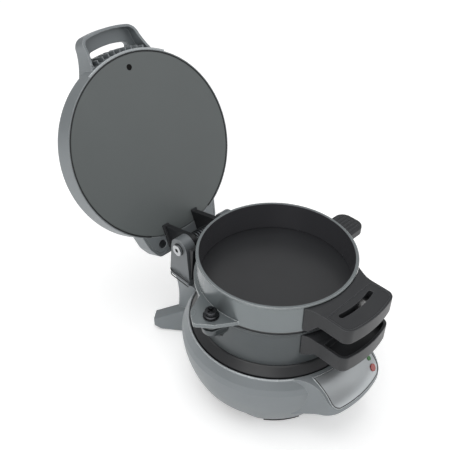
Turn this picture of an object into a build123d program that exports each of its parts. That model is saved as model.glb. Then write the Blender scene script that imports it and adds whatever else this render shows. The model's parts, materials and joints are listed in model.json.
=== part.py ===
from build123d import *
import math
import os

# Breakfast sandwich maker with its lid open. Millimetres, +Z up, the user stands at -Y.
# The origin is on the table, on the vertical axis of the two cooking rings.

# Heights, stacked from the table
pad_height = 1.5
skirt_height = 13.0
wall_belly_z = 20.0
wall_widest_z = 45.0
shoulder_z = 49.5
rim_z = 55.7
deck_z = 51.5
deck_thickness = 2.5
plate_rise = 6.4
seat_gap = 0.3
bottom_ring_height = 29.0
cooking_plate_thickness = 1.4
top_ring_height = 21.8
lid_gap = 0.8
lower_plate_z = rim_z + plate_rise
bottom_ring_z = lower_plate_z + seat_gap
cooking_plate_z = bottom_ring_z + bottom_ring_height + seat_gap
top_ring_z = cooking_plate_z + cooking_plate_thickness + seat_gap
top_rim_z = top_ring_z + top_ring_height
lid_z = top_rim_z + lid_gap

# Clearances
running_gap = 0.05
fit_gap = 0.3
slide_gap = 0.25
touch_gap = 0.1

# Base housing
wall = 2.4
foot_radius = 52.5
belly_radius = 61.8
widest_radius = 66.3
shoulder_radius = 64.9
rim_outer_radius = 61.6
rim_radius = 60.6
rim_round = 0.4
deck_radius = 44.0
foot_angle = 37.5
foot_half_width = 15.0
foot_flare = 12.0

# Rings
ring_radius = 54.0
ring_wall = 1.8
rim_bead = 0.5

# Front pod with the control panel: its face is an arc from a top edge to a lip
pod_half_width = 27.0
pod_corner = 9.0
pod_flare = 8.0
pod_flare_radius = 62.0
pod_flare_back = 13.5
pod_top_radius = 62.5
pod_top_z = 56.4
pod_bulge = 3.47
pod_lip_radius = 82.5
pod_lip_z = 38.0
pod_lip_height = 2.0
pod_heel_radius = 60.0
pod_heel_z = 18.0
panel_margin = 2.4
panel_corner = 6.0
panel_thickness = 1.2
panel_proud = 0.3
panel_seam = 0.35
red_light_x = 18.2
green_light_x = 19.2
red_light_angle = 37.0
green_light_angle = 50.0
red_light_radius = 2.6
green_light_radius = 1.6
lens_length = 5.0
green_lens_length = 3.8
red_lens_proud = 0.9
green_lens_proud = 0.8
board_length = 18.0
board_width = 8.0
board_sheet = 1.0
board_edge = 3.4

# Hinge tower, with the bead round its top
hinge_y = 71.2
hinge_z = 88.0
ear_inner = 17.5
ear_outer = 26.5
ear_round = 8.5
ear_foot_front = 60.9
ear_foot_rear = 83.0
tower_top_z = 57.6
tower_front = 56.0
tower_rear = 82.4
tower_low_z = 5.0
tower_slope_z = 20.0
tower_slope_y = 5.0
tower_top_half = 25.6
tower_waist_half = 22.6
tower_waist_z = 37.0
tower_low_half = 25.5
tower_corner = 5.0
bead_reach = 1.3
bead_low_z = 58.3
bead_high_z = 62.3
groove_depth = 0.7
ear_foot_z = 62.9
saddle_z = 75.0
saddle_rear = 79.0
hinge_pin_radius = 3.0
pin_head_radius = 4.4
pin_head_length = 2.2
pin_dimple_radius = 1.6
pin_dimple_depth = 1.0
pin_tail = 2.4
clip_radius = 5.0
clip_thickness = 0.8
clip_mouth = 2.4
gland_z = 27.0
gland_radius = 6.0
gland_flange = 3.0
gland_nose_root = 5.0
gland_nose_tip = 4.0
gland_nose_length = 5.0
gland_bore = 3.2

# Splayed rear legs
leg_root_x = 18.0
leg_root_y = 68.0
leg_angle = 38.0
leg_length = 32.0
leg_thickness = 11.0
leg_root_z = 28.0
leg_tip_z = 13.0
leg_toe = 4.0
leg_tip_slope = 3.0
leg_round = 1.2
pad_margin = 2.0

# Ring carrier
ring_pin_y = 60.5
ring_pin_z = 94.0
ring_pin_radius = 2.0
knuckle_radius = 3.8
knuckle_arm_height = 6.0
top_knuckle_half = 4.2
bottom_knuckle_outer = 8.2
carrier_half_width = 11.0
carrier_rear = 64.3
carrier_low_z = 78.0
carrier_notch = 1.5
cheek_low_z = 84.0
tongue_half_width = 8.0
tongue_front = 61.2
tongue_low_z = 61.0
tongue_taper = 2.0
wing_outer = 25.0
wing_front = 57.2
wing_high_z = 93.5
wing_low_z = 64.0
wing_tip = 0.7

# Lid
lid_open_angle = 113.6
lid_plate_radius = 69.3
lid_lip_gap = 0.3
lid_lip = 1.1
lid_wall = 2.0
lid_bulge = 0.8
lid_side_height = 15.0
lid_crest_in = 3.2
lid_crest_up = 5.4
lid_dome_height = 26.0
lid_dome_in = 11.5
lid_dome_edge_z = 23.0
lid_dome_sag = 0.27
lid_plate_thickness = 3.0
lid_plate_edge = 0.6
neck_root_x = 38.0
neck_mid_x = 34.0
neck_end_x = 28.0
neck_root_in = 13.3
neck_mid_out = 2.7
neck_end_out = 12.0
neck_height = 17.0
neck_side_round = 5.0
neck_top_round = 3.0
neck_cover_thickness = 2.0
neck_screw_x = 22.0
neck_post_radius = 4.0
cover_screw_sink = 1.2
cover_screw_head = 0.9
cover_screw_length = 10.0
arm_inner = 12.0
arm_outer = 16.0
arm_boss = 6.5
arm_root_in = 9.3
arm_root_out = 7.7
arm_flange = 1.5
arm_flange_height = 2.0
arm_chamfer = 0.7
lid_handle_root_x = 31.5
lid_handle_mid_x = 26.0
lid_handle_tip_x = 23.8
lid_handle_root_in = 11.5
lid_handle_mid_out = 0.8
lid_handle_tip_out = 11.0
lid_handle_reach = 21.2
lid_handle_corner = 8.0
lid_handle_lip = 2.0
lid_handle_edge_z = 1.0
lid_handle_low = 15.0
lid_handle_floor = 19.0
lid_handle_top = 25.0
lid_handle_round = 1.5
lid_slot_out = 6.9
lid_slot_width = 5.0
lid_slot_angle = 11.0
fin_count = 11
fin_spread = 40.0
fin_length = 3.6
fin_thickness = 0.9
fin_low = 5.0
lid_screw_in = 9.3
lid_screw_head_radius = 2.2
lid_screw_sink = 1.6
lid_screw_head = 1.1
lid_screw_length = 12.0
lid_post_radius = 3.6

# Ring handles
collar_thickness = 2.2
collar_blend = 6.5
collar_gap = 0.1
collar_tip_x = 27.2
collar_tip_y = 47.6
collar_waist_x = 24.3
collar_waist_y = 55.0
collar_root_y = 62.0
grip_half_width = 23.5
grip_front_radius = 81.0
grip_corner = 6.0
grip_slot_radius = 67.4
grip_slot_angle = 12.5
grip_slot_width = 3.4
grip_edge = 1.5
grip_edge_height = 0.6
top_grip_top = 2.4
top_grip_thickness = 10.8
top_collar_margin = 1.6
bottom_grip_z = 77.0
bottom_grip_thickness = 11.6
bottom_collar_margin = 1.2
bottom_collar_drop = 4.0
tray_margin = 1.8
tray_depth = 7.0
tray_start = 7.0
handle_rivet_angle = 20.0
handle_rivet_radius = 1.6
handle_rivet_head = 3.0
handle_rivet_rise = 0.7
handle_rivet_length = 4.4

# Cooking plate and its pivot; the ear's corners are measured from the pivot
cooking_plate_radius = 53.6
pivot_x = -60.5
ear_front_reach = 4.2
ear_front_side = 7.6
ear_tip_reach = 13.0
ear_tip_side = 2.8
ear_rear_reach = 6.8
ear_rear_side = 12.5
ear_front_root_angle = 198.0
ear_rear_root_angle = 158.0
ear_front_round = 5.0
ear_tip_round = 2.6
ear_rear_round = 6.0
ear_thickness = 3.0
lug_radius = 7.2
hub_radius = 5.2
hub_height = 2.8
boss_inset = 1.2
flange_reach = 2.2
flange_height = 2.0
flange_angle = 136.0
flange_half_angle = 24.0
pivot_shank_radius = 3.0
pivot_head_radius = 4.1
pivot_head_height = 2.4
pivot_head_round = 0.8
pivot_cross_length = 4.8
pivot_cross_width = 1.1
pivot_cross_floor = 1.0
washer_radius = 5.3
washer_thickness = 0.8
spring_washer_radius = 4.8
spring_washer_height = 1.5
spring_washer_sheet = 0.6
tab_inner_x = 57.0
tab_outer_x = 88.5
tab_half_width = 11.5
tab_corner = 8.0
tab_low_z = 89.6
tab_top_z = 95.6
tab_round = 1.2
tab_rib_count = 6
tab_rib_pitch = 3.2
tab_rib_height = 0.6
tab_rib_width = 1.1
rivet_radius = 1.5
rivet_head = 2.6
rivet_pitch = 7.0
rivet_x = 62.0
rivet_cover = 1.5
stem_overlap = 3.0
stem_end_x = 67.0
stem_half_width = 6.0

# Hinge spring
spring_wire = 1.8
spring_mean_radius = 5.4
spring_pitch = 2.4
spring_turn_count = 5.5
spring_start_x = -10.6
spring_arc_angle = 90.0

# Things inside the base and the lid
element_radius = 40.0
element_tube = 3.0
element_gap_angle = 30.0
element_leg = 14.0
element_stub = 8.4
lower_plate_thickness = 3.4
lower_plate_top_radius = 55.2
lower_plate_skirt_radius = 59.5
lower_plate_skirt_z = 57.0
lower_plate_edge = 1.0
lower_plate_haunch = 4.0
shield_sheet = 0.8
shield_depth = 9.0
shield_flange = 3.4
shield_step = 0.5
shield_hole = 3.0
thermostat_radius = 8.0
thermostat_height = 9.0
thermostat_flange = 11.0
thermostat_flange_sheet = 1.2
tag_spacing = 10.0
tag_width = 3.0
tag_sheet = 0.8
tag_length = 5.0
fuse_x = 20.0
fuse_y = -20.0
fuse_radius = 2.0
fuse_length = 12.0
fuse_lead_radius = 0.5
fuse_lead_length = 22.0
terminal_y = 40.0
terminal_length = 28.0
terminal_width = 12.0
terminal_height = 10.0
terminal_pitch = 9.0
terminal_well_radius = 2.2
terminal_well_depth = 5.0
post_circle = 51.0
post_radius = 3.5
screw_radius = 1.5
screw_head_radius = 3.0
screw_head_height = 1.6
cross_width = 1.0
cross_length = 4.0
base_screw_length = 14.0
cover_thickness = 2.4
vent_count = 5
vent_pitch = 10.0
vent_length = 28.0
vent_width = 3.0

past = 1.0
tall = 2 * lid_z
centre_low = (Align.CENTER, Align.CENTER, Align.MIN)


def disc(radius, low, high):
    return Pos(0, 0, low) * Cylinder(radius, high - low, align=centre_low)


def tube(outer, inner, low, high):
    return disc(outer, low, high) - disc(inner, low - past, high + past)


def block(x_low, x_high, y_low, y_high, z_low, z_high):
    centre = Pos((x_low + x_high) / 2, (y_low + y_high) / 2, (z_low + z_high) / 2)
    return centre * Box(x_high - x_low, y_high - y_low, z_high - z_low)


def x_rod(radius, x_low, x_high, y, z):
    rod = Cylinder(radius, x_high - x_low, align=centre_low)
    return Pos(x_low, y, z) * Rot(0, 90, 0) * rod


def upright(face, low, high):
    """A flat face drawn in the XY plane, raised from one height to another."""
    return Pos(0, 0, low) * extrude(face, high - low, dir=(0, 0, 1))


def joined(solids):
    whole = solids[0]
    for solid in solids[1:]:
        whole += solid
    return whole


def both_sides(shape):
    return shape + mirror(shape, Plane.YZ)


def turned(outline):
    """A solid of revolution about Z from a closed wire drawn in the XZ plane."""
    return revolve(make_face(outline), Axis.Z)


def turned_polygon(points):
    corners = [Vector(r, 0, z) for r, z in points]
    return turned(Polyline(*corners, close=True))


def side_plate(points, x_low, x_high):
    """A flat plate drawn in the YZ plane and pulled along X."""
    corners = [Vector(x_low, y, z) for y, z in points]
    face = make_face(Polyline(*corners, close=True))
    return extrude(face, x_high - x_low, dir=(1, 0, 0))


def circle_through(first, middle, last):
    """Centre and radius of the circle through three points of the XZ plane."""
    ax, az = first
    bx, bz = middle
    cx, cz = last
    d = 2 * (ax * (bz - cz) + bx * (cz - az) + cx * (az - bz))
    a2, b2, c2 = ax * ax + az * az, bx * bx + bz * bz, cx * cx + cz * cz
    ox = (a2 * (bz - cz) + b2 * (cz - az) + c2 * (az - bz)) / d
    oz = (a2 * (cx - bx) + b2 * (ax - cx) + c2 * (bx - ax)) / d
    return ox, oz, math.hypot(ax - ox, az - oz)


def tangent_point(centre, radius, point, side):
    """Where the line from a point touches a circle, on the chosen side."""
    away = (point[0] - centre[0], point[1] - centre[1])
    distance = math.hypot(*away)
    turn = math.atan2(away[1], away[0]) + side * math.acos(radius / distance)
    return (centre[0] + radius * math.cos(turn), centre[1] + radius * math.sin(turn))


def tapered_boss(centre, radius, left, right, x_low, x_high):
    """A plate in the YZ plane that narrows from two corners onto a round boss above them."""
    left_touch = tangent_point(centre, radius, left, -1)
    right_touch = tangent_point(centre, radius, right, 1)
    if left[1] > centre[1]:
        left_touch = tangent_point(centre, radius, left, 1)
        right_touch = tangent_point(centre, radius, right, -1)
    plate = side_plate([left, left_touch, right_touch, right], x_low, x_high)
    return plate + x_rod(radius, x_low, x_high, *centre)


def sector(outer, inner, low, high, middle_angle, half_angle):
    """A piece of a round wall, centred on an angle about Z."""
    band = tube(outer, inner, low, high)
    reach = outer * 2
    corners = [Vector(0, 0, 0)]
    for turn in (-half_angle, 0, half_angle):
        angle = math.radians(middle_angle + turn)
        corners.append(Vector(reach * math.cos(angle), reach * math.sin(angle), 0))
    wedge = upright(make_face(Polyline(*corners, close=True)), low - past, high + past)
    return band & wedge


def arc_slot(radius, width, half_angle, middle_angle, low, high):
    """A curved slot with round ends."""
    slot = sector(radius + width / 2, radius - width / 2, low, high, middle_angle, half_angle)
    for side in (-1, 1):
        angle = math.radians(middle_angle + side * half_angle)
        end = Pos(radius * math.cos(angle), radius * math.sin(angle), 0)
        slot += end * disc(width / 2, low, high)
    return slot


def crossed_slot(length, width, low, high):
    bar = block(-length / 2, length / 2, -width / 2, width / 2, low, high)
    return bar + Rot(0, 0, 90) * bar


def wall_radius(z, inset=0.0):
    """Radius of the housing's belly at a height, from the circle through its three points."""
    ox, oz, radius = circle_through(
        (foot_radius, pad_height), (belly_radius, wall_belly_z), (widest_radius, wall_widest_z)
    )
    radius -= inset
    return ox + math.sqrt(radius * radius - (z - oz) ** 2)


def on_wall(z, inset=0.0):
    return Vector(wall_radius(z, inset), 0, z)


def bowl_outline():
    """The outside of the round base, from the table up to the top of its rim."""
    return [
        ThreePointArc(on_wall(pad_height), on_wall(wall_belly_z), on_wall(wall_widest_z)),
        Polyline(
            on_wall(wall_widest_z),
            Vector(shoulder_radius, 0, shoulder_z),
            Vector(rim_outer_radius + fit_gap, 0, rim_z - rim_round),
            Vector(rim_outer_radius - fit_gap, 0, rim_z),
            Vector(rim_radius, 0, rim_z),
        ),
    ]


def bowl():
    """The round wall of the base, its rim and the deck that carries the lower plate."""
    under_deck = deck_z - deck_thickness
    outline = Curve() + bowl_outline() + [
        Polyline(
            Vector(rim_radius, 0, rim_z),
            Vector(rim_radius, 0, deck_z),
            Vector(deck_radius, 0, deck_z),
            Vector(deck_radius, 0, under_deck),
            Vector(rim_radius, 0, under_deck),
            on_wall(wall_widest_z, wall),
        ),
        ThreePointArc(
            on_wall(wall_widest_z, wall), on_wall(wall_belly_z, wall), on_wall(pad_height, wall)
        ),
        Line(on_wall(pad_height, wall), on_wall(pad_height)),
    ]
    return turned(outline)


def bowl_core():
    """The whole round base as one filled form, for fitting pieces against its outside."""
    outline = Curve() + bowl_outline() + [
        Polyline(
            Vector(rim_radius, 0, rim_z), Vector(0, 0, rim_z), Vector(0, 0, pad_height), on_wall(pad_height)
        )
    ]
    return turned(outline)


def foot_prism(angle):
    """The wedge of wall that reaches down to the table as a front foot."""
    wide = foot_half_width + foot_flare
    corners = [
        (-foot_half_width, 0),
        (foot_half_width, 0),
        (wide, skirt_height + past),
        (-wide, skirt_height + past),
    ]
    points = [Vector(widest_radius, t, z) for t, z in corners]
    face = make_face(Polyline(*points, close=True))
    prism = extrude(face, widest_radius / 2, dir=(-1, 0, 0))
    return Rot(0, 0, angle) * prism


def pod_arc():
    """The circle of the pod's face: its top and lip, and its bulge beyond the line between them."""
    run, fall = pod_lip_radius - pod_top_radius, pod_top_z - pod_lip_z
    chord = math.hypot(run, fall)
    middle = (
        (pod_top_radius + pod_lip_radius) / 2 + pod_bulge * fall / chord,
        (pod_top_z + pod_lip_z) / 2 + pod_bulge * run / chord,
    )
    return circle_through((pod_top_radius, pod_top_z), middle, (pod_lip_radius, pod_lip_z))


def on_pod_arc(angle, offset=0.0):
    """A point of the pod's face in the XZ plane, at an angle up from level."""
    ox, oz, radius = pod_arc()
    turn = math.radians(angle)
    return Vector(ox + (radius + offset) * math.cos(turn), 0, oz + (radius + offset) * math.sin(turn))


def pod_lip_angle():
    ox, oz, radius = pod_arc()
    return math.degrees(math.asin((pod_lip_z - oz) / radius))


def pod_back_angle(radial):
    """The angle at which the pod's face stands over a distance from the rings' axis."""
    ox, oz, radius = pod_arc()
    return math.degrees(math.acos((radial - ox) / radius))


def pod_plan(margin):
    """The pod seen from above: round front corners and sides that flare into the bowl."""
    half = pod_half_width - margin
    front = Pos(0, -pod_lip_radius / 2) * Rectangle(2 * half, pod_lip_radius)
    front &= Circle(pod_lip_radius - margin)
    front = fillet(front.vertices().sort_by(Axis.Y)[:2], pod_corner - margin)
    root = (half + pod_flare, -math.sqrt(pod_flare_radius ** 2 - (pod_half_width + pod_flare) ** 2))
    end_y = pod_flare_back - pod_lip_radius
    side = [root, (half + pod_flare / 4, (root[1] + end_y) / 2), (half, end_y)]
    other = [(-x, y) for x, y in reversed(side)]
    outline = Curve() + [
        ThreePointArc(*side),
        Line(side[2], other[0]),
        ThreePointArc(*other),
        Polyline(other[2], (0, 0), root),
    ]
    return front + make_face(outline)


def pod_solid(margin):
    """The pod's body, drawn in by a margin on every side for its hollow."""
    back = rim_radius - past
    back_angle = pod_back_angle(back)
    lip_angle = pod_lip_angle()
    slope = (pod_lip_z - pod_lip_height - pod_heel_z) / (pod_lip_radius - pod_heel_radius)
    rise = margin * math.sqrt(1 + slope ** 2)
    heel_z = pod_heel_z + rise
    first, last = on_pod_arc(back_angle, -margin), on_pod_arc(lip_angle, -margin)
    lip_low_z = pod_lip_z - pod_lip_height + rise - margin * slope
    outline = Curve() + [
        ThreePointArc(first, on_pod_arc((back_angle + lip_angle) / 2, -margin), last),
        Polyline(
            last,
            Vector(pod_lip_radius - margin, 0, lip_low_z),
            Vector(pod_heel_radius, 0, heel_z),
            Vector(first.X, 0, heel_z),
            first,
        ),
    ]
    return turned(outline) & upright(pod_plan(margin), 0, tall)


def panel_sheet(proud, depth, grow):
    """A sheet that follows the pod's face between two offsets, with round lower corners."""
    lip_angle = pod_lip_angle() + math.degrees((panel_margin - grow) / pod_arc()[2])
    back_angle = pod_back_angle(pod_top_radius + past - grow)
    middle = (lip_angle + back_angle) / 2
    outer = [on_pod_arc(angle, proud) for angle in (back_angle, middle, lip_angle)]
    inner = [on_pod_arc(angle, -depth) for angle in (lip_angle, middle, back_angle)]
    outline = Curve() + [
        ThreePointArc(*outer), Line(outer[2], inner[0]), ThreePointArc(*inner), Line(inner[2], outer[0])
    ]
    half = pod_half_width - panel_margin + grow
    low = on_pod_arc(lip_angle).Z
    front = Pos(0, (low + tall) / 2) * Rectangle(2 * half, tall - low)
    front = fillet(front.vertices().sort_by(Axis.Y)[:2], panel_corner + grow)
    prism = extrude(Plane.XZ * front, pod_lip_radius + past * 5, dir=(0, -1, 0))
    return turned(outline) & prism


def on_panel(x, angle):
    """A point on the pod's face at an angle up from level, and its outward direction."""
    spot = on_pod_arc(angle)
    around = math.asin(x / spot.X)
    radial = Vector(math.sin(around), -math.cos(around), 0)
    turn = math.radians(angle)
    return radial * spot.X + Vector(0, 0, spot.Z), radial * math.cos(turn) + Vector(0, 0, math.sin(turn))


def lens(x, angle, radius, length, proud):
    point, normal = on_panel(x, angle)
    plane = Plane(origin=point + normal * proud, z_dir=normal * -1)
    return plane * Cylinder(radius, length + proud, align=centre_low)


def light_holes():
    spots = (
        (red_light_x, red_light_angle, red_light_radius),
        (green_light_x, green_light_angle, green_light_radius),
    )
    return [lens(x, angle, radius + touch_gap, lens_length, past) for x, angle, radius in spots]


def post_angles():
    return (45, 135, 200, 340)


def post_spot(angle):
    return Rot(0, 0, angle) * Pos(post_circle, 0, 0)


def front_feet():
    """The two curved feet that carry on the bowl's wall below the skirt."""
    low_wall = bowl() - disc(widest_radius * 2, skirt_height - touch_gap, tall)
    return [low_wall & foot_prism(-90 + side * foot_angle) for side in (-1, 1)]


def housing():
    """The grey moulded base with its control pod and screw posts."""
    body = bowl() - disc(widest_radius * 2, -past, skirt_height)
    body += pod_solid(0) - disc(rim_radius, 0, tall)
    body -= pod_solid(wall) - disc(rim_outer_radius + wall, deck_z - deck_thickness - wall, tall)
    body -= panel_sheet(past * 5, panel_thickness + touch_gap, panel_seam)
    for angle in post_angles():
        body += post_spot(angle) * disc(post_radius, skirt_height + cover_thickness, deck_z - past)
        body -= post_spot(angle) * disc(screw_radius + running_gap, 0, skirt_height + base_screw_length * 2)
    for hole in light_holes():
        body -= hole
    return body


def base_cover():
    """The round plate under the base, flush with the skirt, with its vents."""
    radius = wall_radius(skirt_height, wall) - fit_gap
    cover = disc(radius, skirt_height, skirt_height + cover_thickness - touch_gap)
    for angle in post_angles():
        cover -= post_spot(angle) * disc(screw_radius + running_gap, 0, tall)
    middle = (vent_count - 1) / 2
    for step in range(vent_count):
        vent = block(-vent_length / 2, vent_length / 2, -vent_width / 2, vent_width / 2, 0, tall)
        cover -= Pos(0, (step - middle) * vent_pitch, 0) * vent
    return cover


def base_screws():
    screws = []
    for angle in post_angles():
        head = disc(screw_head_radius, skirt_height - screw_head_height, skirt_height)
        shank = disc(screw_radius, skirt_height, skirt_height + base_screw_length)
        cross = crossed_slot(cross_length, cross_width, 0, skirt_height - screw_head_height / 2)
        screws.append(post_spot(angle) * (head + shank - cross))
    return screws


def front_pads():
    """Two curved rubber pads set just inside the feet they stand under."""
    half = math.degrees(foot_half_width / foot_radius) - pad_margin
    outer, inner = wall_radius(pad_height), wall_radius(pad_height, wall)
    return [
        sector(outer - touch_gap, inner - past, 0, pad_height, -90 + side * foot_angle, half)
        for side in (-1, 1)
    ]


def leg_place(side, away):
    return Pos(side * leg_root_x, leg_root_y, 0) * Rot(0, 0, -side * leg_angle) * Pos(0, away, 0)


def rear_pads():
    away = leg_length - leg_toe - leg_thickness / 2
    pad = disc(leg_thickness / 2 - pad_margin, 0, pad_height)
    return [leg_place(side, away) * pad for side in (-1, 1)]


def rear_leg(side):
    """One splayed leg behind the hinge tower."""
    outline = [
        (0, pad_height),
        (leg_length - leg_toe, pad_height),
        (leg_length, leg_toe),
        (leg_length, leg_tip_z - leg_tip_slope / 2),
        (leg_length - leg_tip_slope, leg_tip_z),
        (0, leg_root_z),
    ]
    leg = side_plate(outline, -leg_thickness / 2, leg_thickness / 2)
    sides = leg.edges().filter_by(lambda e: abs(abs(e.center().X) - leg_thickness / 2) < touch_gap)
    leg = fillet(sides.filter_by(lambda e: e.center().Z > pad_height + touch_gap), leg_round)
    return leg_place(side, 0) * leg


def gland_plane():
    return Plane(origin=(0, tower_rear - past, gland_z), z_dir=(0, 1, 0))


def rear_tower():
    """The waisted block behind the bowl, standing on two splayed legs."""
    side_view = side_plate(
        [
            (tower_front, skirt_height),
            (tower_rear - tower_slope_y, tower_low_z),
            (tower_rear, tower_slope_z),
            (tower_rear, tower_top_z),
            (tower_front, tower_top_z),
        ],
        -widest_radius,
        widest_radius,
    )
    top = Vector(tower_top_half, 0, tower_top_z)
    waist = Vector(tower_waist_half, 0, tower_waist_z)
    low = Vector(tower_low_half, 0, skirt_height)
    corners = [Vector(-top.X, 0, top.Z), Vector(-waist.X, 0, waist.Z), Vector(-low.X, 0, low.Z)]
    outline = Curve() + [
        ThreePointArc(top, waist, low),
        Polyline(low, Vector(low.X, 0, 0), Vector(-low.X, 0, 0), corners[2]),
        ThreePointArc(*reversed(corners)),
        Line(corners[0], top),
    ]
    front_view = extrude(make_face(outline), tower_rear + past, dir=(0, 1, 0))
    body = side_view & front_view
    uprights = body.edges().filter_by(
        lambda e: abs(e.center().Y - tower_rear) < touch_gap and abs(e.center().X) > tower_waist_half - past
    )
    body = fillet(uprights, tower_corner)
    for side in (-1, 1):
        body += rear_leg(side)
    body -= bowl_core() + disc(rim_outer_radius, pad_height, tall)
    return body - gland_plane() * Cylinder(gland_radius + touch_gap, past * 5, align=centre_low)


def hinge_bracket():
    """The bead round the tower's top, the two ears that hold the lid's pin, and the saddle."""
    rear = ear_foot_rear
    neck = block(
        -ear_outer + groove_depth, ear_outer - groove_depth,
        ear_foot_front, rear - groove_depth, tower_top_z, ear_foot_z,
    )
    bead = block(
        -ear_outer - bead_reach, ear_outer + bead_reach,
        ear_foot_front, rear + bead_reach, bead_low_z, bead_high_z,
    )
    bead = fillet(bead.edges().filter_by(Axis.Z).sort_by(Axis.Y)[-2:], tower_corner)
    round_edges = bead.faces().sort_by(Axis.Z)[0].edges() + bead.faces().sort_by(Axis.Z)[-1].edges()
    round_edges = round_edges.filter_by(lambda e: e.center().Y > ear_foot_front + touch_gap)
    bead = fillet(round_edges, (bead_high_z - bead_low_z) / 2 - touch_gap)
    ear = tapered_boss(
        (hinge_y, hinge_z), ear_round,
        (ear_foot_front, ear_foot_z), (rear, ear_foot_z), ear_inner, ear_outer,
    )
    saddle = side_plate(
        [
            (ear_foot_front, bead_high_z),
            (ear_foot_front, saddle_z),
            (saddle_rear, saddle_z),
            (rear - groove_depth, bead_high_z),
        ],
        -ear_inner,
        ear_inner,
    )
    body = neck + bead + both_sides(ear) + saddle
    body -= block(
        -tongue_half_width - slide_gap, tongue_half_width + slide_gap,
        ear_foot_front - past, carrier_rear + slide_gap, tongue_low_z - slide_gap, saddle_z + past,
    )
    reach = ear_outer + past
    return body - x_rod(hinge_pin_radius + running_gap, -reach, reach, hinge_y, hinge_z)


def control_panel():
    panel = panel_sheet(panel_proud, panel_thickness, 0)
    for hole in light_holes():
        panel -= hole
    return panel


def light_board():
    """The small board that carries both lamps, square to the red one."""
    point, normal = on_panel(red_light_x, red_light_angle)
    across = Vector(-normal.Y, normal.X, 0).normalized()
    plane = Plane(
        origin=point - normal * (lens_length + touch_gap), x_dir=across * -1, z_dir=normal * -1
    )
    board = Pos(board_length / 2 - board_edge, 0, 0)
    return plane * board * Box(board_length, board_width, board_sheet, align=centre_low)


def lower_plate():
    """The cast lower heating plate with its sloped edge and skirt."""
    inner = lower_plate_skirt_radius - wall
    top = lower_plate_z
    under = top - lower_plate_thickness
    return turned_polygon(
        [
            (0, top),
            (lower_plate_top_radius - lower_plate_edge, top),
            (lower_plate_top_radius, top - lower_plate_edge / 2),
            (lower_plate_skirt_radius, lower_plate_skirt_z),
            (lower_plate_skirt_radius, deck_z),
            (inner, deck_z),
            (inner, under - wall),
            (inner - lower_plate_haunch, under),
            (0, under),
        ]
    )


def heating_element(z_tube, leg_length_down):
    """A round heating rod with two legs that turn away from the plate."""
    section = Pos(element_radius, 0, z_tube) * Rot(90, 0, 0) * Circle(element_tube)
    rod = revolve(section, Axis.Z, revolution_arc=360 - element_gap_angle)
    rod = Rot(0, 0, 90 + element_gap_angle / 2) * rod
    for side in (-1, 1):
        spot = Rot(0, 0, 90 + side * element_gap_angle / 2) * Pos(element_radius, 0, 0)
        low, high = sorted((z_tube, z_tube - leg_length_down))
        rod += spot * disc(element_tube, low, high)
        rod += spot * Pos(0, 0, z_tube) * Sphere(element_tube)
    return rod


def lower_element():
    z = lower_plate_z - lower_plate_thickness - element_tube - touch_gap
    return heating_element(z, element_leg)


def heat_shield():
    """The reflector pan that hangs under the deck."""
    under = deck_z - deck_thickness - touch_gap
    outer = deck_radius + shield_flange
    inner = deck_radius - shield_step
    floor = under - shield_depth
    pan = turned_polygon(
        [
            (outer, under),
            (inner - shield_sheet, under),
            (inner - shield_sheet, floor + shield_sheet),
            (0, floor + shield_sheet),
            (0, floor),
            (inner, floor),
            (inner, under - shield_sheet),
            (outer, under - shield_sheet),
        ]
    )
    for side in (-1, 1):
        spot = Rot(0, 0, 90 + side * element_gap_angle / 2) * Pos(element_radius, 0, 0)
        pan -= spot * disc(element_tube + fit_gap, 0, tall)
    return pan - disc(shield_hole, 0, tall)


def lower_thermostat():
    top = lower_plate_z - lower_plate_thickness - touch_gap
    low = top - thermostat_height
    can = disc(thermostat_radius, low, top) + disc(thermostat_flange, top - thermostat_flange_sheet, top)
    tag = block(-tag_width / 2, tag_width / 2, -tag_sheet / 2, tag_sheet / 2, low - tag_length, low)
    return can + Pos(tag_spacing / 2, 0, 0) * tag + Pos(-tag_spacing / 2, 0, 0) * tag


def thermal_fuse():
    floor = deck_z - deck_thickness - touch_gap - shield_depth + shield_sheet
    middle = floor + fuse_radius + touch_gap
    body = x_rod(fuse_radius, fuse_x - fuse_length / 2, fuse_x + fuse_length / 2, fuse_y, middle)
    half = fuse_lead_length / 2
    return body + x_rod(fuse_lead_radius, fuse_x - half, fuse_x + half, fuse_y, middle)


def terminal_block():
    low = skirt_height + cover_thickness
    half, depth = terminal_length / 2, terminal_width / 2
    body = block(-half, half, terminal_y - depth, terminal_y + depth, low, low + terminal_height)
    for step in (-1, 0, 1):
        well = disc(terminal_well_radius, low + terminal_height - terminal_well_depth, tall)
        body -= Pos(step * terminal_pitch, terminal_y, 0) * well
    return body


def cord_gland():
    """The bushing in the back wall of the tower that the mains lead leaves by."""
    nose = Cone(gland_nose_root, gland_nose_tip, gland_nose_length, align=centre_low)
    gland = Cylinder(gland_radius, gland_flange, align=centre_low) + Pos(0, 0, gland_flange) * nose
    return gland_plane() * (gland - Cylinder(gland_bore, tall))


def hinge_pin():
    low = -ear_outer - touch_gap
    head_low = low - pin_head_length
    pin = x_rod(hinge_pin_radius, low, ear_outer + pin_tail, hinge_y, hinge_z)
    head = x_rod(pin_head_radius, head_low, low, hinge_y, hinge_z)
    dimple = x_rod(pin_dimple_radius, head_low - past, head_low + pin_dimple_depth, hinge_y, hinge_z)
    return pin + head - dimple


def pin_clip():
    """The snap ring on the pin's right end, open at the bottom."""
    low = ear_outer + fit_gap
    high = low + clip_thickness
    clip = x_rod(clip_radius, low, high, hinge_y, hinge_z)
    clip -= x_rod(hinge_pin_radius + running_gap, low - past, high + past, hinge_y, hinge_z)
    half = clip_mouth / 2
    return clip - block(
        low - past, high + past, hinge_y - half, hinge_y + half, hinge_z - clip_radius * 2, hinge_z
    )


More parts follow.
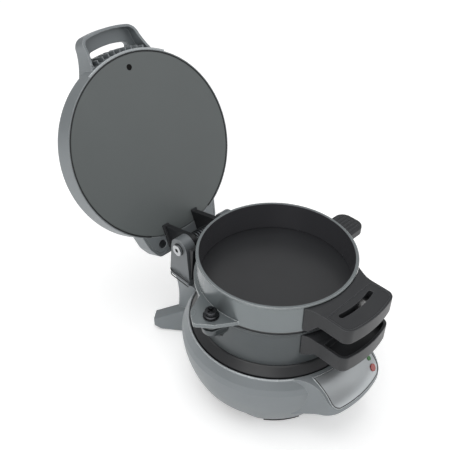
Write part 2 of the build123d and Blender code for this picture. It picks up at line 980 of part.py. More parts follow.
def biarc(start, start_dir, stop, stop_dir):
    """Two arcs that join two points with the given directions."""
    chord = stop - start
    total = start_dir + stop_dir
    a = 2 * (1 - start_dir.dot(stop_dir))
    b = 2 * chord.dot(total)
    c = -chord.dot(chord)
    reach = (-b + math.sqrt(b * b - 4 * a * c)) / (2 * a)
    first = start + start_dir * reach
    second = stop - stop_dir * reach
    middle = (first + second) * 0.5
    middle_dir = (second - first).normalized()
    arcs = []
    for p, d, q in ((start, start_dir, middle), (middle, middle_dir, stop)):
        arcs.append(Edge.make_tangent_arc(p, d, q))
    return arcs


def spring_point(turn):
    """Position and direction along the hinge spring's helix, in turns from its start."""
    angle = 2 * math.pi * turn
    rise = spring_pitch / (2 * math.pi)
    point = Vector(
        spring_start_x + spring_pitch * turn,
        hinge_y + spring_mean_radius * math.cos(angle),
        hinge_z + spring_mean_radius * math.sin(angle),
    )
    direction = Vector(
        rise, -spring_mean_radius * math.sin(angle), spring_mean_radius * math.cos(angle)
    )
    return point, direction.normalized()


def hinge_spring():
    """A coil round the hinge pin whose two legs stand on the saddle."""
    up = Vector(0, 0, 1)
    start, _ = spring_point(0)
    stop, _ = spring_point(spring_turn_count)
    edges = [Edge.make_line(Vector(start.X, start.Y, saddle_z), start)]
    marks = [0.0]
    while marks[-1] < spring_turn_count - running_gap:
        marks.append(min(marks[-1] + spring_arc_angle / 360, spring_turn_count))
    for low, high in zip(marks, marks[1:]):
        p, p_dir = spring_point(low)
        q, q_dir = spring_point(high)
        if low == 0:
            p_dir = up
        if high == marks[-1]:
            q_dir = up * -1
        edges += biarc(p, p_dir, q, q_dir)
    edges.append(Edge.make_line(stop, Vector(stop.X, stop.Y, saddle_z)))
    path = Wire(edges)
    section = Plane(origin=path @ 0, z_dir=path % 0) * Circle(spring_wire / 2)
    return sweep(section, path=path)


def spring_self_gap():
    """Least gap between turns of the spring, measured on points of its path."""
    per_turn = 24
    count = int(spring_turn_count * per_turn)
    points = [spring_point(i / per_turn)[0] for i in range(count + 1)]
    least = min(
        (points[i] - points[j]).length
        for i in range(count + 1)
        for j in range(i + per_turn // 2, count + 1)
    )
    return least - spring_wire


def carrier():
    """The black block that drops into the tower and holds the ring pin."""
    half = carrier_half_width
    body = block(-half, half, tongue_front, carrier_rear, carrier_low_z, ring_pin_z)
    body += side_plate(
        [
            (tongue_front, carrier_low_z),
            (tongue_front, tongue_low_z + tongue_taper * 2),
            (tongue_front + tongue_taper / 2, tongue_low_z),
            (carrier_rear, tongue_low_z),
            (carrier_rear, carrier_low_z),
        ],
        -tongue_half_width,
        tongue_half_width,
    )
    gap = bottom_knuckle_outer + slide_gap
    cheek = x_rod(knuckle_radius, gap, half, ring_pin_y, ring_pin_z)
    cheek += block(gap, half, ring_pin_y - knuckle_radius, carrier_rear, cheek_low_z, ring_pin_z)
    body += both_sides(cheek)
    body -= x_rod(knuckle_radius + fit_gap * 2, -gap, gap, ring_pin_y, ring_pin_z)
    body -= block(-gap, gap, ring_pin_y, carrier_rear + past, ring_pin_z - carrier_notch, tall)
    return body - ring_pin_hole()


def carrier_wings():
    """Two tapered shields in front of the ears, against the carrier's cheeks."""
    rear = ear_foot_front - fit_gap
    outline = [
        (wing_front, wing_high_z), (rear, wing_high_z), (rear, wing_low_z), (rear - wing_tip, wing_low_z)
    ]
    wing = side_plate(outline, carrier_half_width, wing_outer)
    return [wing, mirror(wing, Plane.YZ)]


def ring_pin():
    half = carrier_half_width - fit_gap
    return x_rod(ring_pin_radius, -half, half, ring_pin_y, ring_pin_z)


def ring_pin_hole():
    half = carrier_half_width + past
    return x_rod(ring_pin_radius + running_gap, -half, half, ring_pin_y, ring_pin_z)


def ring_bore():
    return disc(ring_radius - ring_wall, 0, tall)


def ring_body(low, high):
    """A ring's wall with the small bead round its upper rim."""
    root = ring_radius - touch_gap
    outer = ring_radius + rim_bead
    bead = [
        (root, high), (outer, high - rim_bead), (outer, high - rim_bead * 2), (root, high - rim_bead * 4)
    ]
    return tube(ring_radius, ring_radius - ring_wall, low, high) + turned_polygon(bead)


def hinge_knuckle(x_low, x_high, z_low, z_high):
    """A hinge knuckle and the arm that ties it to the back of a ring."""
    reach = max(abs(x_low), abs(x_high))
    arm_y = math.sqrt((ring_radius - ring_wall / 2) ** 2 - reach ** 2)
    arm = block(x_low, x_high, arm_y, ring_pin_y, z_low, z_high)
    return arm + x_rod(knuckle_radius, x_low, x_high, ring_pin_y, ring_pin_z)


def ear_plan(inset):
    """The five-sided ear at the left of the rings, from its roots on the ring wall."""
    corners = []
    for root_angle in (ear_front_root_angle, ear_rear_root_angle):
        turn = math.radians(root_angle)
        corners.append(((ring_radius - ring_wall / 2) * math.cos(turn), ring_radius * math.sin(turn)))
    front, rear = corners
    middle = [
        (pivot_x - ear_front_reach, -ear_front_side),
        (pivot_x - ear_tip_reach, ear_tip_side),
        (pivot_x - ear_rear_reach, ear_rear_side),
    ]
    points = [(0, front[1]), front] + middle + [rear, (0, rear[1])]
    face = make_face(Polyline(*points, close=True))
    for place, size in zip(middle, (ear_front_round, ear_tip_round, ear_rear_round)):
        face = fillet(face.vertices().sort_by_distance(Vector(*place, 0))[0], size)
    if inset:
        face = offset(face, -inset)
    return face


def pivot_ear(low, high, inset=0.0):
    return upright(ear_plan(inset), low, high) - disc(ring_radius - ring_wall / 2, low - past, high + past)


def pivot_rest():
    """The hollow column on the bottom ring that the plate's bushing comes down on."""
    high = cooking_plate_z - hub_height - seat_gap
    boss = pivot_ear(bottom_ring_z, high, boss_inset)
    boss -= disc(ring_radius + touch_gap, 0, tall)
    hollow = pivot_ear(bottom_ring_z - past, high - ring_wall, boss_inset + ring_wall)
    return boss - (hollow - disc(ring_radius + ring_wall, 0, tall))


def bottom_ring_knuckles():
    """The two knuckles at the back of the bottom ring, either side of the top ring's."""
    high = bottom_ring_z + bottom_ring_height
    inner = top_knuckle_half + slide_gap
    knuckle = hinge_knuckle(inner, bottom_knuckle_outer, high - knuckle_arm_height, high)
    knuckle += block(
        inner, bottom_knuckle_outer,
        ring_pin_y - knuckle_radius, ring_pin_y, high - knuckle_arm_height / 2, ring_pin_z,
    )
    knuckle -= disc(ring_radius + rim_bead + touch_gap, 0, tall) + ring_pin_hole()
    return [knuckle, mirror(knuckle, Plane.YZ)]


def bottom_ring():
    ring = ring_body(bottom_ring_z, bottom_ring_z + bottom_ring_height)
    return ring - ring_bore() - rivet_holes(middle_of(bottom_handle_levels()))


def top_ring():
    ring = ring_body(top_ring_z, top_rim_z)
    ring += pivot_ear(top_ring_z, top_ring_z + ear_thickness)
    ring += sector(
        ring_radius + flange_reach, ring_radius - ring_wall / 2,
        top_ring_z, top_ring_z + flange_height, flange_angle, flange_half_angle,
    )
    half = top_knuckle_half
    ring += hinge_knuckle(-half, half, top_ring_z, top_ring_z + knuckle_arm_height)
    ring -= Pos(pivot_x, 0, 0) * disc(pivot_shank_radius + running_gap, 0, tall)
    return ring - ring_pin_hole() - ring_bore() - rivet_holes(middle_of(top_handle_levels()))


def pivot_screw():
    head_low = top_ring_z + ear_thickness + washer_thickness + spring_washer_height + touch_gap * 2
    screw = disc(pivot_shank_radius, cooking_plate_z - hub_height, head_low)
    head = disc(pivot_head_radius, head_low, head_low + pivot_head_height)
    head = fillet(head.edges().sort_by(Axis.Z)[-1], pivot_head_round)
    cross = crossed_slot(pivot_cross_length, pivot_cross_width, head_low + pivot_cross_floor, tall)
    return Pos(pivot_x, 0, 0) * (screw + head - cross)


def pivot_washer():
    low = top_ring_z + ear_thickness + touch_gap / 2
    shank_radius = pivot_shank_radius + running_gap
    washer = tube(washer_radius, shank_radius, low, low + washer_thickness)
    return Pos(pivot_x, 0, 0) * washer


def pivot_spring_washer():
    low = top_ring_z + ear_thickness + washer_thickness + touch_gap
    shank_radius = pivot_shank_radius + running_gap
    points = [
        (shank_radius, low + spring_washer_height),
        (shank_radius, low + spring_washer_height - spring_washer_sheet),
        (spring_washer_radius, low),
        (spring_washer_radius, low + spring_washer_sheet),
    ]
    return Pos(pivot_x, 0, 0) * turned_polygon(points)


def rivet_places():
    return [Pos(rivet_x, side * rivet_pitch / 2, 0) for side in (-1, 1)]


def plate_lug(low, high):
    """The round lug of the cooking plate, run into the plate's edge."""
    lug = Pos(pivot_x, 0, 0) * disc(lug_radius, low, high)
    return lug + block(pivot_x, 0, -lug_radius, lug_radius, low, high)


def cooking_plate():
    """The swing-out plate between the rings, with its lug under the ear."""
    top = cooking_plate_z + cooking_plate_thickness
    plate = disc(cooking_plate_radius, cooking_plate_z, top) + plate_lug(cooking_plate_z, top)
    plate -= Pos(pivot_x, 0, 0) * disc(pivot_shank_radius + running_gap, 0, tall)
    half = stem_half_width
    plate += block(cooking_plate_radius - stem_overlap, stem_end_x, -half, half, cooking_plate_z, top)
    for spot in rivet_places():
        plate -= spot * disc(rivet_radius + running_gap, 0, tall)
    return plate


def pivot_bushing():
    """The round bushing under the cooking plate's lug, which the screw runs through."""
    low, high = cooking_plate_z - hub_height, cooking_plate_z - running_gap
    return Pos(pivot_x, 0, 0) * tube(hub_radius, pivot_shank_radius + running_gap, low, high)


def plate_handle():
    """The black tab that swings the cooking plate, with its finger ribs."""
    length = tab_outer_x - tab_inner_x
    plan = Pos((tab_outer_x + tab_inner_x) / 2, 0) * Rectangle(length, 2 * tab_half_width)
    plan = fillet(plan.vertices().sort_by(Axis.X)[-2:], tab_corner)
    tab = upright(plan, tab_low_z, tab_top_z)
    tab = fillet(tab.faces().sort_by(Axis.Z)[-1].edges(), tab_round)
    tab -= disc(ring_radius + rim_bead + slide_gap * 2, 0, tall)
    middle = (tab_rib_count - 1) / 2
    half = tab_rib_width / 2
    for step in range(tab_rib_count):
        y = (step - middle) * tab_rib_pitch
        rib_end = tab_outer_x - tab_corner / 2
        tab += block(
            stem_end_x, rib_end, y - half, y + half, tab_top_z - tab_round, tab_top_z + tab_rib_height
        )
    top = cooking_plate_z + cooking_plate_thickness + touch_gap / 2
    half = stem_half_width + touch_gap
    tab -= block(0, stem_end_x + touch_gap, -half, half, cooking_plate_z - touch_gap / 2, top)
    for spot in rivet_places():
        tab -= spot * disc(rivet_head + running_gap, 0, cooking_plate_z - past)
        tab -= spot * disc(rivet_radius + running_gap, 0, tab_top_z - rivet_cover)
    return tab


def plate_rivets():
    head = disc(rivet_head, tab_low_z, cooking_plate_z - past)
    shank = disc(rivet_radius, cooking_plate_z - past, tab_top_z - rivet_cover - touch_gap)
    return [spot * (head + shank) for spot in rivet_places()]


def middle_of(levels):
    return sum(levels) / 2


def grip_plan(margin, back_y=0.0):
    """The front part that both ring handles share, seen from above and drawn in by a margin."""
    half = grip_half_width - margin
    depth = grip_front_radius + past - back_y
    grip = Pos(0, -back_y - depth / 2) * Rectangle(2 * half, depth) & Circle(grip_front_radius - margin)
    return fillet(grip.vertices().sort_by(Axis.Y)[:2], grip_corner - margin / 2)


def collar_plan():
    """The collar's sides, swept from pointed tips on the ring into the grip's sides."""
    tip, waist = (collar_tip_x, -collar_tip_y), (collar_waist_x, -collar_waist_y)
    root = (grip_half_width, -collar_root_y)
    points = [tip, waist, root]
    opposite = [(-x, y) for x, y in reversed(points)]
    outline = Curve() + [
        ThreePointArc(*points),
        Line(root, opposite[0]),
        ThreePointArc(*opposite),
        Polyline(opposite[2], (0, 0), tip),
    ]
    return make_face(outline)


def ring_handle(low, high, collar_low, collar_high):
    """A black handle: collar and grip from one plan, cut to height by a turned profile."""
    inner = ring_radius + rim_bead + collar_gap
    collar = inner + collar_thickness
    blend = inner + collar_blend
    front = grip_front_radius + past
    heights = turned_polygon(
        [
            (inner, collar_low), (collar, collar_low), (blend, low), (front, low),
            (front, high), (blend, high), (collar, collar_high), (inner, collar_high),
        ]
    )
    plan = upright(grip_plan(0), 0, tall) + upright(collar_plan(), 0, tall)
    return (heights & plan) - rivet_holes((low + high) / 2)


def rivet_planes(z):
    """Where the two rivets of a ring handle enter the ring's wall from inside."""
    planes = []
    for side in (-1, 1):
        angle = math.radians(-90 + side * handle_rivet_angle)
        normal = Vector(math.cos(angle), math.sin(angle), 0)
        start = normal * (ring_radius - ring_wall) + Vector(0, 0, z)
        planes.append(Plane(origin=start, z_dir=normal))
    return planes


def rivet_holes(z):
    length = handle_rivet_length + fit_gap + ring_wall
    hole = Cylinder(handle_rivet_radius + running_gap, length, align=centre_low)
    hole = Pos(0, 0, -ring_wall) * hole
    first, second = rivet_planes(z)
    return first * hole + second * hole


def handle_rivets(z):
    seat = Pos(0, 0, -touch_gap)
    shank = seat * Cylinder(handle_rivet_radius, handle_rivet_length, align=centre_low)
    head = Cylinder(handle_rivet_head, handle_rivet_rise, align=centre_low)
    head = seat * Pos(0, 0, -handle_rivet_rise) * head
    return [plane * (shank + head) for plane in rivet_planes(z)]


def top_handle_levels():
    high = top_rim_z - top_grip_top
    return high - top_grip_thickness, high


def top_handle():
    """The upper ring's handle with its curved slot and the raised edge round its top."""
    low, high = top_handle_levels()
    handle = ring_handle(low, high, top_ring_z + top_collar_margin, top_rim_z - top_collar_margin)
    start = ring_radius + rim_bead + collar_blend
    handle -= upright(grip_plan(grip_edge, start), high - grip_edge_height, tall) - disc(start, 0, tall)
    return handle - arc_slot(grip_slot_radius, grip_slot_width, grip_slot_angle, -90, low - past, tall)


def bottom_handle_levels():
    return bottom_grip_z, bottom_grip_z + bottom_grip_thickness


def bottom_handle():
    """The lower ring's handle, with the open tray that its grip is moulded as."""
    low, high = bottom_handle_levels()
    collar_high = bottom_ring_z + bottom_ring_height - bottom_collar_margin
    handle = ring_handle(low, high, low - bottom_collar_drop, collar_high)
    start = ring_radius + rim_bead + tray_start
    return handle - (upright(grip_plan(tray_margin, start), high - tray_depth, tall) - disc(start, 0, tall))


def lid_form(lip, inset):
    """The round lid as a filled form, drawn in by an inset for the hollow inside it."""
    side = lid_z + lid_side_height
    bulge = lid_plate_radius + lid_lip_gap + lid_lip + lid_bulge - inset
    edge = Vector(lid_plate_radius - lid_dome_in, 0, lid_z + lid_dome_edge_z - inset)
    top = Vector(0, 0, lid_z + lid_dome_height - inset)
    crest = Vector(bulge - lid_crest_in + inset / 5, 0, side + lid_crest_up - inset / 2)
    half_way = Vector(edge.X / 2, 0, top.Z - (top.Z - edge.Z) * lid_dome_sag)
    outline = Curve() + [
        Line(Vector(lip, 0, lid_z), Vector(bulge, 0, side)),
        ThreePointArc(Vector(bulge, 0, side), crest, edge),
        ThreePointArc(edge, half_way, top),
        Polyline(top, Vector(0, 0, lid_z), Vector(lip, 0, lid_z)),
    ]
    return turned(outline)


def lid_outside():
    return lid_form(lid_plate_radius + lid_lip_gap + lid_lip, 0)


def lid_inside():
    return lid_form(lid_plate_radius + lid_lip_gap, lid_wall)


def neck_plan(margin):
    """The neck seen from above, behind the round of the lid."""
    half = [
        (neck_root_x - margin, lid_plate_radius - neck_root_in),
        (neck_mid_x - margin, lid_plate_radius + neck_mid_out),
        (neck_end_x - margin, lid_plate_radius + neck_end_out - margin),
    ]
    face = make_face(Polyline(*half, *[(-x, y) for x, y in reversed(half)], close=True))
    corners = [v for v in face.vertices() if v.Y > lid_plate_radius]
    return fillet(corners, neck_side_round - margin / 2)


def neck():
    """The box behind the dome that the arms are screwed into, hollow and open below."""
    outer = upright(neck_plan(0), lid_z, lid_z + neck_height)
    rear = lid_plate_radius + neck_mid_out
    top_edges = outer.faces().sort_by(Axis.Z)[-1].edges().filter_by(lambda e: e.center().Y > rear)
    outer = fillet(top_edges, neck_top_round)
    hollow = upright(neck_plan(lid_wall), lid_z - past, lid_z + neck_height - lid_wall)
    post_top = lid_z + neck_height - past
    posts = [place * disc(neck_post_radius, lid_z, post_top) for place in neck_screw_spots()]
    box = outer - (hollow - joined(posts))
    for place in neck_screw_spots():
        box -= place * disc(screw_radius + running_gap, 0, lid_z + neck_height - lid_wall)
    return box - lid_outside() - neck_cover_space()


def lid_shell():
    """The lid's moulded shell: dome and neck, with the post for the plate's screw."""
    shell = lid_outside() - lid_inside()
    top = lid_z + lid_dome_edge_z
    post = disc(lid_post_radius, lid_z + lid_plate_thickness + touch_gap, top)
    post = lid_screw_spot() * (post - disc(screw_radius + running_gap, 0, top - lid_wall))
    return shell + (post & lid_outside()) + neck() - neck_cover_space()


def lid_handle_plan(margin):
    """The lid's hand grip seen from above, with its sides swept in from the root."""
    half = [
        (lid_handle_root_x - margin, lid_handle_root_in - lid_plate_radius),
        (lid_handle_mid_x - margin, -lid_plate_radius - lid_handle_mid_out),
        (lid_handle_tip_x - margin, -lid_plate_radius - lid_handle_tip_out),
    ]
    front_y = -lid_plate_radius - lid_handle_reach - past
    corner = (half[2][0], front_y)
    opposite = [(-x, y) for x, y in reversed(half)]
    outline = Curve() + [
        ThreePointArc(*half),
        Polyline(half[2], corner, (-corner[0], front_y), opposite[0]),
        ThreePointArc(*opposite),
        Line(opposite[2], half[0]),
    ]
    face = make_face(outline) & Circle(lid_plate_radius + lid_handle_reach - margin)
    return fillet(face.vertices().sort_by(Axis.Y)[:2], lid_handle_corner - margin)


def lid_fins():
    """Small gussets between the lid's round side and the floor of its hand grip."""
    lip = lid_plate_radius + lid_lip_gap
    floor = lid_z + lid_handle_floor + touch_gap
    middle = (fin_count - 1) / 2
    fins = []
    for step in range(fin_count):
        half = fin_thickness / 2
        fin = block(lip, lip + lid_lip + fin_length, -half, half, lid_z + fin_low, floor)
        fins.append(Rot(0, 0, -90 + (step - middle) * fin_spread / (fin_count - 1)) * fin)
    return joined(fins)


def lid_handle():
    """The lid's hand grip: a shallow tray under a flat top, with a slot through its floor."""
    top = lid_z + lid_handle_top
    grip = upright(lid_handle_plan(0), lid_z, top)
    upper = grip.faces().sort_by(Axis.Z)[-1].edges()
    root_y = lid_handle_root_in - lid_plate_radius
    grip = fillet(upper.filter_by(lambda e: e.center().Y < root_y - touch_gap), lid_handle_round)
    front_y = -lid_plate_radius - lid_handle_reach - past
    low = lid_z + lid_handle_low
    under = [
        (root_y + past, lid_z - past), (root_y + past, lid_z + lid_handle_edge_z),
        (front_y, low), (front_y, lid_z - past),
    ]
    grip -= side_plate(under, -lid_handle_root_x - past, lid_handle_root_x + past)
    grip -= upright(lid_handle_plan(lid_handle_lip), 0, lid_z + lid_handle_floor)
    slot_radius = lid_plate_radius + lid_slot_out
    grip -= arc_slot(slot_radius, lid_slot_width, lid_slot_angle, -90, lid_z, tall)
    return grip + lid_fins() - lid_outside()


def neck_cover_space():
    """Room in the shell's rim for the neck cover, so that it butts on the heating plate."""
    space = upright(neck_plan(lid_wall), lid_z - past, lid_z + neck_cover_thickness + touch_gap)
    return space - disc(lid_plate_radius + lid_lip_gap, 0, tall)


def neck_screw_spots():
    """Half-way between the heating plate's edge and the back of the neck."""
    edge_y = math.sqrt((lid_plate_radius + lid_lip_gap) ** 2 - neck_screw_x ** 2)
    y = (edge_y + lid_plate_radius + neck_end_out - lid_wall) / 2
    return [Pos(side * neck_screw_x, y, 0) for side in (-1, 1)]


def neck_cover():
    cover = upright(neck_plan(lid_wall + fit_gap), lid_z, lid_z + neck_cover_thickness)
    cover -= disc(lid_plate_radius + lid_lip_gap, 0, tall)
    for spot in neck_screw_spots():
        cover -= spot * disc(screw_radius + running_gap, 0, tall)
        cover -= spot * disc(screw_head_radius + fit_gap, 0, lid_z + cover_screw_sink)
    return cover


def neck_screws():
    low = lid_z + cover_screw_sink
    screw = disc(screw_head_radius, low - cover_screw_head, low)
    screw += disc(screw_radius, low, low + cover_screw_length)
    return [spot * screw for spot in neck_screw_spots()]


def lid_screw_spot():
    return Pos(0, lid_screw_in - lid_plate_radius, 0)


def lid_plate():
    """The flat upper heating plate, with the sunk hole near the grip."""
    plate = disc(lid_plate_radius, lid_z, lid_z + lid_plate_thickness)
    plate = chamfer(plate.edges().sort_by(Axis.Z)[0], lid_plate_edge)
    plate -= lid_screw_spot() * disc(lid_screw_head_radius + touch_gap, 0, lid_z + lid_screw_sink)
    return plate - lid_screw_spot() * disc(screw_radius + running_gap, 0, tall)


def lid_plate_screw():
    low = lid_z + lid_screw_sink
    head = disc(lid_screw_head_radius, low - lid_screw_head, low)
    return lid_screw_spot() * (head + disc(screw_radius, low, low + lid_screw_length))


def upper_element():
    z = lid_z + lid_plate_thickness + touch_gap + element_tube
    return heating_element(z, -element_stub)


def upper_cutoff():
    low = lid_z + lid_plate_thickness + touch_gap
    can = disc(thermostat_radius, low, low + thermostat_height)
    return can + disc(thermostat_flange, low, low + thermostat_flange_sheet)


def lid_arm(side):
    """One of the two black arms that carry the lid on the hinge pin, flanged on its outer side."""
    low = lid_z - arm_flange_height
    front, rear = lid_plate_radius - arm_root_in, lid_plate_radius + arm_root_out
    arm = tapered_boss((hinge_y, hinge_z), arm_boss, (front, low), (rear, low), arm_inner, arm_outer)
    flange = block(arm_inner, arm_outer + arm_flange, front - past, rear + past, low, lid_z)
    flange = chamfer(flange.faces().sort_by(Axis.X)[-1].edges().sort_by(Axis.Z)[0], arm_chamfer)
    arm += flange
    arm -= x_rod(hinge_pin_radius + running_gap, arm_inner - past, arm_outer + past, hinge_y, hinge_z)
    return arm if side > 0 else mirror(arm, Plane.YZ)


def opened(shape):
    """The lid's pieces are drawn closed and turned back about the hinge pin."""
    hinge = Pos(0, hinge_y, hinge_z)
    return hinge * Rot(-lid_open_angle, 0, 0) * hinge.inverse() * shape


def save(name, shape):
    if isinstance(shape, (list, tuple)):
        shape = Compound(children=list(shape))
    export_step(shape, os.path.join("parts", name + ".step"))


os.makedirs("parts", exist_ok=True)
save("base_housing", housing())
save("front_feet", front_feet())
save("base_cover", base_cover())
save("base_screws", base_screws())
save("front_foot_pads", front_pads())
save("rear_foot_pads", rear_pads())
save("rear_tower", rear_tower())
save("hinge_bracket", hinge_bracket())
save("control_panel", control_panel())
save("power_light_lens", lens(red_light_x, red_light_angle, red_light_radius, lens_length, red_lens_proud))
save(
    "preheat_light_lens",
    lens(green_light_x, green_light_angle, green_light_radius, green_lens_length, green_lens_proud),
)
save("light_board", light_board())
save("lower_heating_plate", lower_plate())
save("lower_heating_element", lower_element())
save("heat_shield", heat_shield())
save("lower_thermostat", lower_thermostat())
save("thermal_fuse", thermal_fuse())
save("terminal_block", terminal_block())
save("cord_gland", cord_gland())
save("hinge_pin", hinge_pin())
save("hinge_pin_clip", pin_clip())
save("hinge_spring", hinge_spring())
save("ring_carrier", carrier())
save("carrier_wings", carrier_wings())
save("ring_hinge_pin", ring_pin())
save("bottom_ring", bottom_ring())
save("bottom_ring_knuckles", bottom_ring_knuckles())
save("pivot_rest", pivot_rest())
save("bottom_ring_handle", bottom_handle())
save("bottom_ring_rivets", handle_rivets(middle_of(bottom_handle_levels())))
save("top_ring", top_ring())
save("top_ring_handle", top_handle())
save("top_ring_rivets", handle_rivets(middle_of(top_handle_levels())))
save("pivot_screw", pivot_screw())
save("pivot_washer", pivot_washer())
save("pivot_spring_washer", pivot_spring_washer())
save("cooking_plate", cooking_plate())
save("pivot_bushing", pivot_bushing())
save("plate_handle", plate_handle())
save("plate_handle_rivets", plate_rivets())
save("lid_shell", opened(lid_shell()))
save("lid_handle", opened(lid_handle()))
save("lid_neck_cover", opened(neck_cover()))
save("lid_neck_screws", [opened(screw) for screw in neck_screws()])
save("lid_heating_plate", opened(lid_plate()))
save("lid_plate_screw", opened(lid_plate_screw()))
save("upper_heating_element", opened(upper_element()))
save("upper_thermal_cutoff", opened(upper_cutoff()))
save("lid_arm_left", opened(lid_arm(-1)))
save("lid_arm_right", opened(lid_arm(1)))
print("hinge spring, least gap between turns, mm:", round(spring_self_gap(), 2))
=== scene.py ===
import json
import math
import bmesh
import bpy
from mathutils import Matrix, Vector


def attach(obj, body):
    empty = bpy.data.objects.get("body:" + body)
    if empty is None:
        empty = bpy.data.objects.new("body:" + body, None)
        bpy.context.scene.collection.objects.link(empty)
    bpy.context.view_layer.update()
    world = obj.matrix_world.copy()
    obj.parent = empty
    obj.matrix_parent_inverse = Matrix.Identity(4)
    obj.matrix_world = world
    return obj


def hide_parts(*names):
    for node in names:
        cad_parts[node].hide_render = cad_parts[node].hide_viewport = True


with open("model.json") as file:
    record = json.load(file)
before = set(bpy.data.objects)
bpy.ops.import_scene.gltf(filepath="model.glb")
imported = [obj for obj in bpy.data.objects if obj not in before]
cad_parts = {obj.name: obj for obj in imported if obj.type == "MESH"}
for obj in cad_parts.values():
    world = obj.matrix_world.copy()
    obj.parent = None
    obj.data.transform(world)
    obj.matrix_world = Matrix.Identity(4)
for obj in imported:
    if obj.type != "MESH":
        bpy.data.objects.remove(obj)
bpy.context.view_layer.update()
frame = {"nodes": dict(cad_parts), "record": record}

nodes = frame["nodes"]
mm = 0.001
mergeMm = 0.002  # points nearer than this are one point
sharpAngle = math.radians(35)  # edges sharper than this stay sharp
bevelSamples = 4
print("frame loaded:", len(nodes), "pieces")


def linearColour(hexText):
    values = [int(hexText[i:i + 2], 16) / 255 for i in (1, 3, 5)]
    linear = [v / 12.92 if v <= 0.04045 else ((v + 0.055) / 1.055) ** 2.4 for v in values]
    return (*linear, 1.0)


def addNode(tree, kind, settings=None, links=None):
    node = tree.nodes.new(kind)
    for key, value in (settings or {}).items():
        if isinstance(key, int) or key in node.inputs:
            node.inputs[key].default_value = value
        else:
            setattr(node, key, value)
    for key, source in (links or {}).items():
        tree.links.new(source, node.inputs[key])
    return node


def emptyMaterial(name):
    material = bpy.data.materials.new(name)
    material.use_nodes = True
    material.node_tree.nodes.clear()
    return material, material.node_tree


def patternScale(sizeMm):
    return 1.0 / (sizeMm * mm)  # one feature of the pattern for each real size


def mouldedSurface(name, spec):
    # colour that drifts in wide clouds, a fine grain in the surface, edges a little lighter: partly wear,
    # partly a painted highlight
    material, tree = emptyMaterial(name)
    place = addNode(tree, "ShaderNodeTexCoord").outputs["Object"]
    cloud = addNode(tree, "ShaderNodeTexNoise", {
        "Scale": patternScale(spec["cloudMm"]), "Detail": 3.0, "Roughness": 0.55}, {"Vector": place})
    grain = addNode(tree, "ShaderNodeTexNoise", {
        "Scale": patternScale(spec["grainMm"]), "Detail": 2.0, "Roughness": 0.6}, {"Vector": place})
    colour = addNode(tree, "ShaderNodeMix", {
        "data_type": "RGBA", 6: linearColour(spec["colour"]), 7: linearColour(spec["shade"])},
        {0: cloud.outputs["Fac"]})
    rounded = addNode(tree, "ShaderNodeBevel", {"samples": bevelSamples, "Radius": spec["edgeMm"] * mm})
    surface = addNode(tree, "ShaderNodeNewGeometry").outputs["Normal"]
    turn = addNode(tree, "ShaderNodeVectorMath", {"operation": "DOT_PRODUCT"},
                   {0: rounded.outputs["Normal"], 1: surface})
    # edges lightened where the rounded normal turns from the face: partly wear, partly painted highlight
    wornAndLit = addNode(tree, "ShaderNodeMapRange", {
        "From Min": 0.99, "From Max": 0.80, "To Min": 0.0, "To Max": spec["edgeWearAndHighlight"]},
        {"Value": turn.outputs["Value"]})
    edged = addNode(tree, "ShaderNodeMix", {"data_type": "RGBA", 7: linearColour(spec["edgeColour"])},
                    {0: wornAndLit.outputs["Result"], 6: colour.outputs[2]})
    if "boreMm" in spec:  # the inside of a ring keeps the darker coat that meets the food
        flat = addNode(tree, "ShaderNodeVectorMath", {"operation": "MULTIPLY", 1: (1, 1, 0)}, {0: place})
        radius = addNode(tree, "ShaderNodeVectorMath", {"operation": "LENGTH"}, {0: flat.outputs[0]})
        inside = addNode(tree, "ShaderNodeMath", {"operation": "LESS_THAN", 1: spec["boreMm"] * mm},
                         {0: radius.outputs["Value"]})
        edged = addNode(tree, "ShaderNodeMix", {"data_type": "RGBA", 7: linearColour(spec["boreColour"])},
                        {0: inside.outputs[0], 6: edged.outputs[2]})
    rough = addNode(tree, "ShaderNodeMapRange", {
        "To Min": spec["roughness"][0], "To Max": spec["roughness"][1]},
        {"Value": cloud.outputs["Fac"]})
    bump = addNode(tree, "ShaderNodeBump", {
        "Strength": spec["grainStrength"], "Distance": spec["grainDepthMm"] * mm},
        {"Height": grain.outputs["Fac"], "Normal": rounded.outputs["Normal"]})
    shader = addNode(tree, "ShaderNodeBsdfPrincipled", {
        "Metallic": spec.get("metallic", 0.0), "IOR": 1.5, "Specular IOR Level": spec.get("gloss", 0.5)},
        {"Base Color": edged.outputs[2], "Roughness": rough.outputs["Result"],
         "Normal": bump.outputs["Normal"]})
    addNode(tree, "ShaderNodeOutputMaterial", None, {"Surface": shader.outputs[0]})
    return material


def turnedMetal(name, spec):
    # drawn or turned steel: fine lines along one axis, blurred highlight
    material, tree = emptyMaterial(name)
    place = addNode(tree, "ShaderNodeTexCoord").outputs["Object"]
    stretch = addNode(tree, "ShaderNodeMapping", {"Scale": spec["stretch"]}, {"Vector": place})
    lines = addNode(tree, "ShaderNodeTexNoise", {
        "Scale": patternScale(spec["lineMm"]), "Detail": 2.0}, {"Vector": stretch.outputs[0]})
    colour = addNode(tree, "ShaderNodeMix", {
        "data_type": "RGBA", 6: linearColour(spec["colour"]), 7: linearColour(spec["shade"])},
        {0: lines.outputs["Fac"]})
    rough = addNode(tree, "ShaderNodeMapRange", {
        "To Min": spec["roughness"][0], "To Max": spec["roughness"][1]},
        {"Value": lines.outputs["Fac"]})
    rounded = addNode(tree, "ShaderNodeBevel", {"samples": bevelSamples, "Radius": spec["edgeMm"] * mm})
    bump = addNode(tree, "ShaderNodeBump", {"Strength": 0.15, "Distance": 0.02 * mm},
                   {"Height": lines.outputs["Fac"], "Normal": rounded.outputs["Normal"]})
    shader = addNode(tree, "ShaderNodeBsdfPrincipled", {"Metallic": 1.0}, {
        "Base Color": colour.outputs[2], "Roughness": rough.outputs["Result"],
        "Normal": bump.outputs["Normal"]})
    addNode(tree, "ShaderNodeOutputMaterial", None, {"Surface": shader.outputs[0]})
    return material


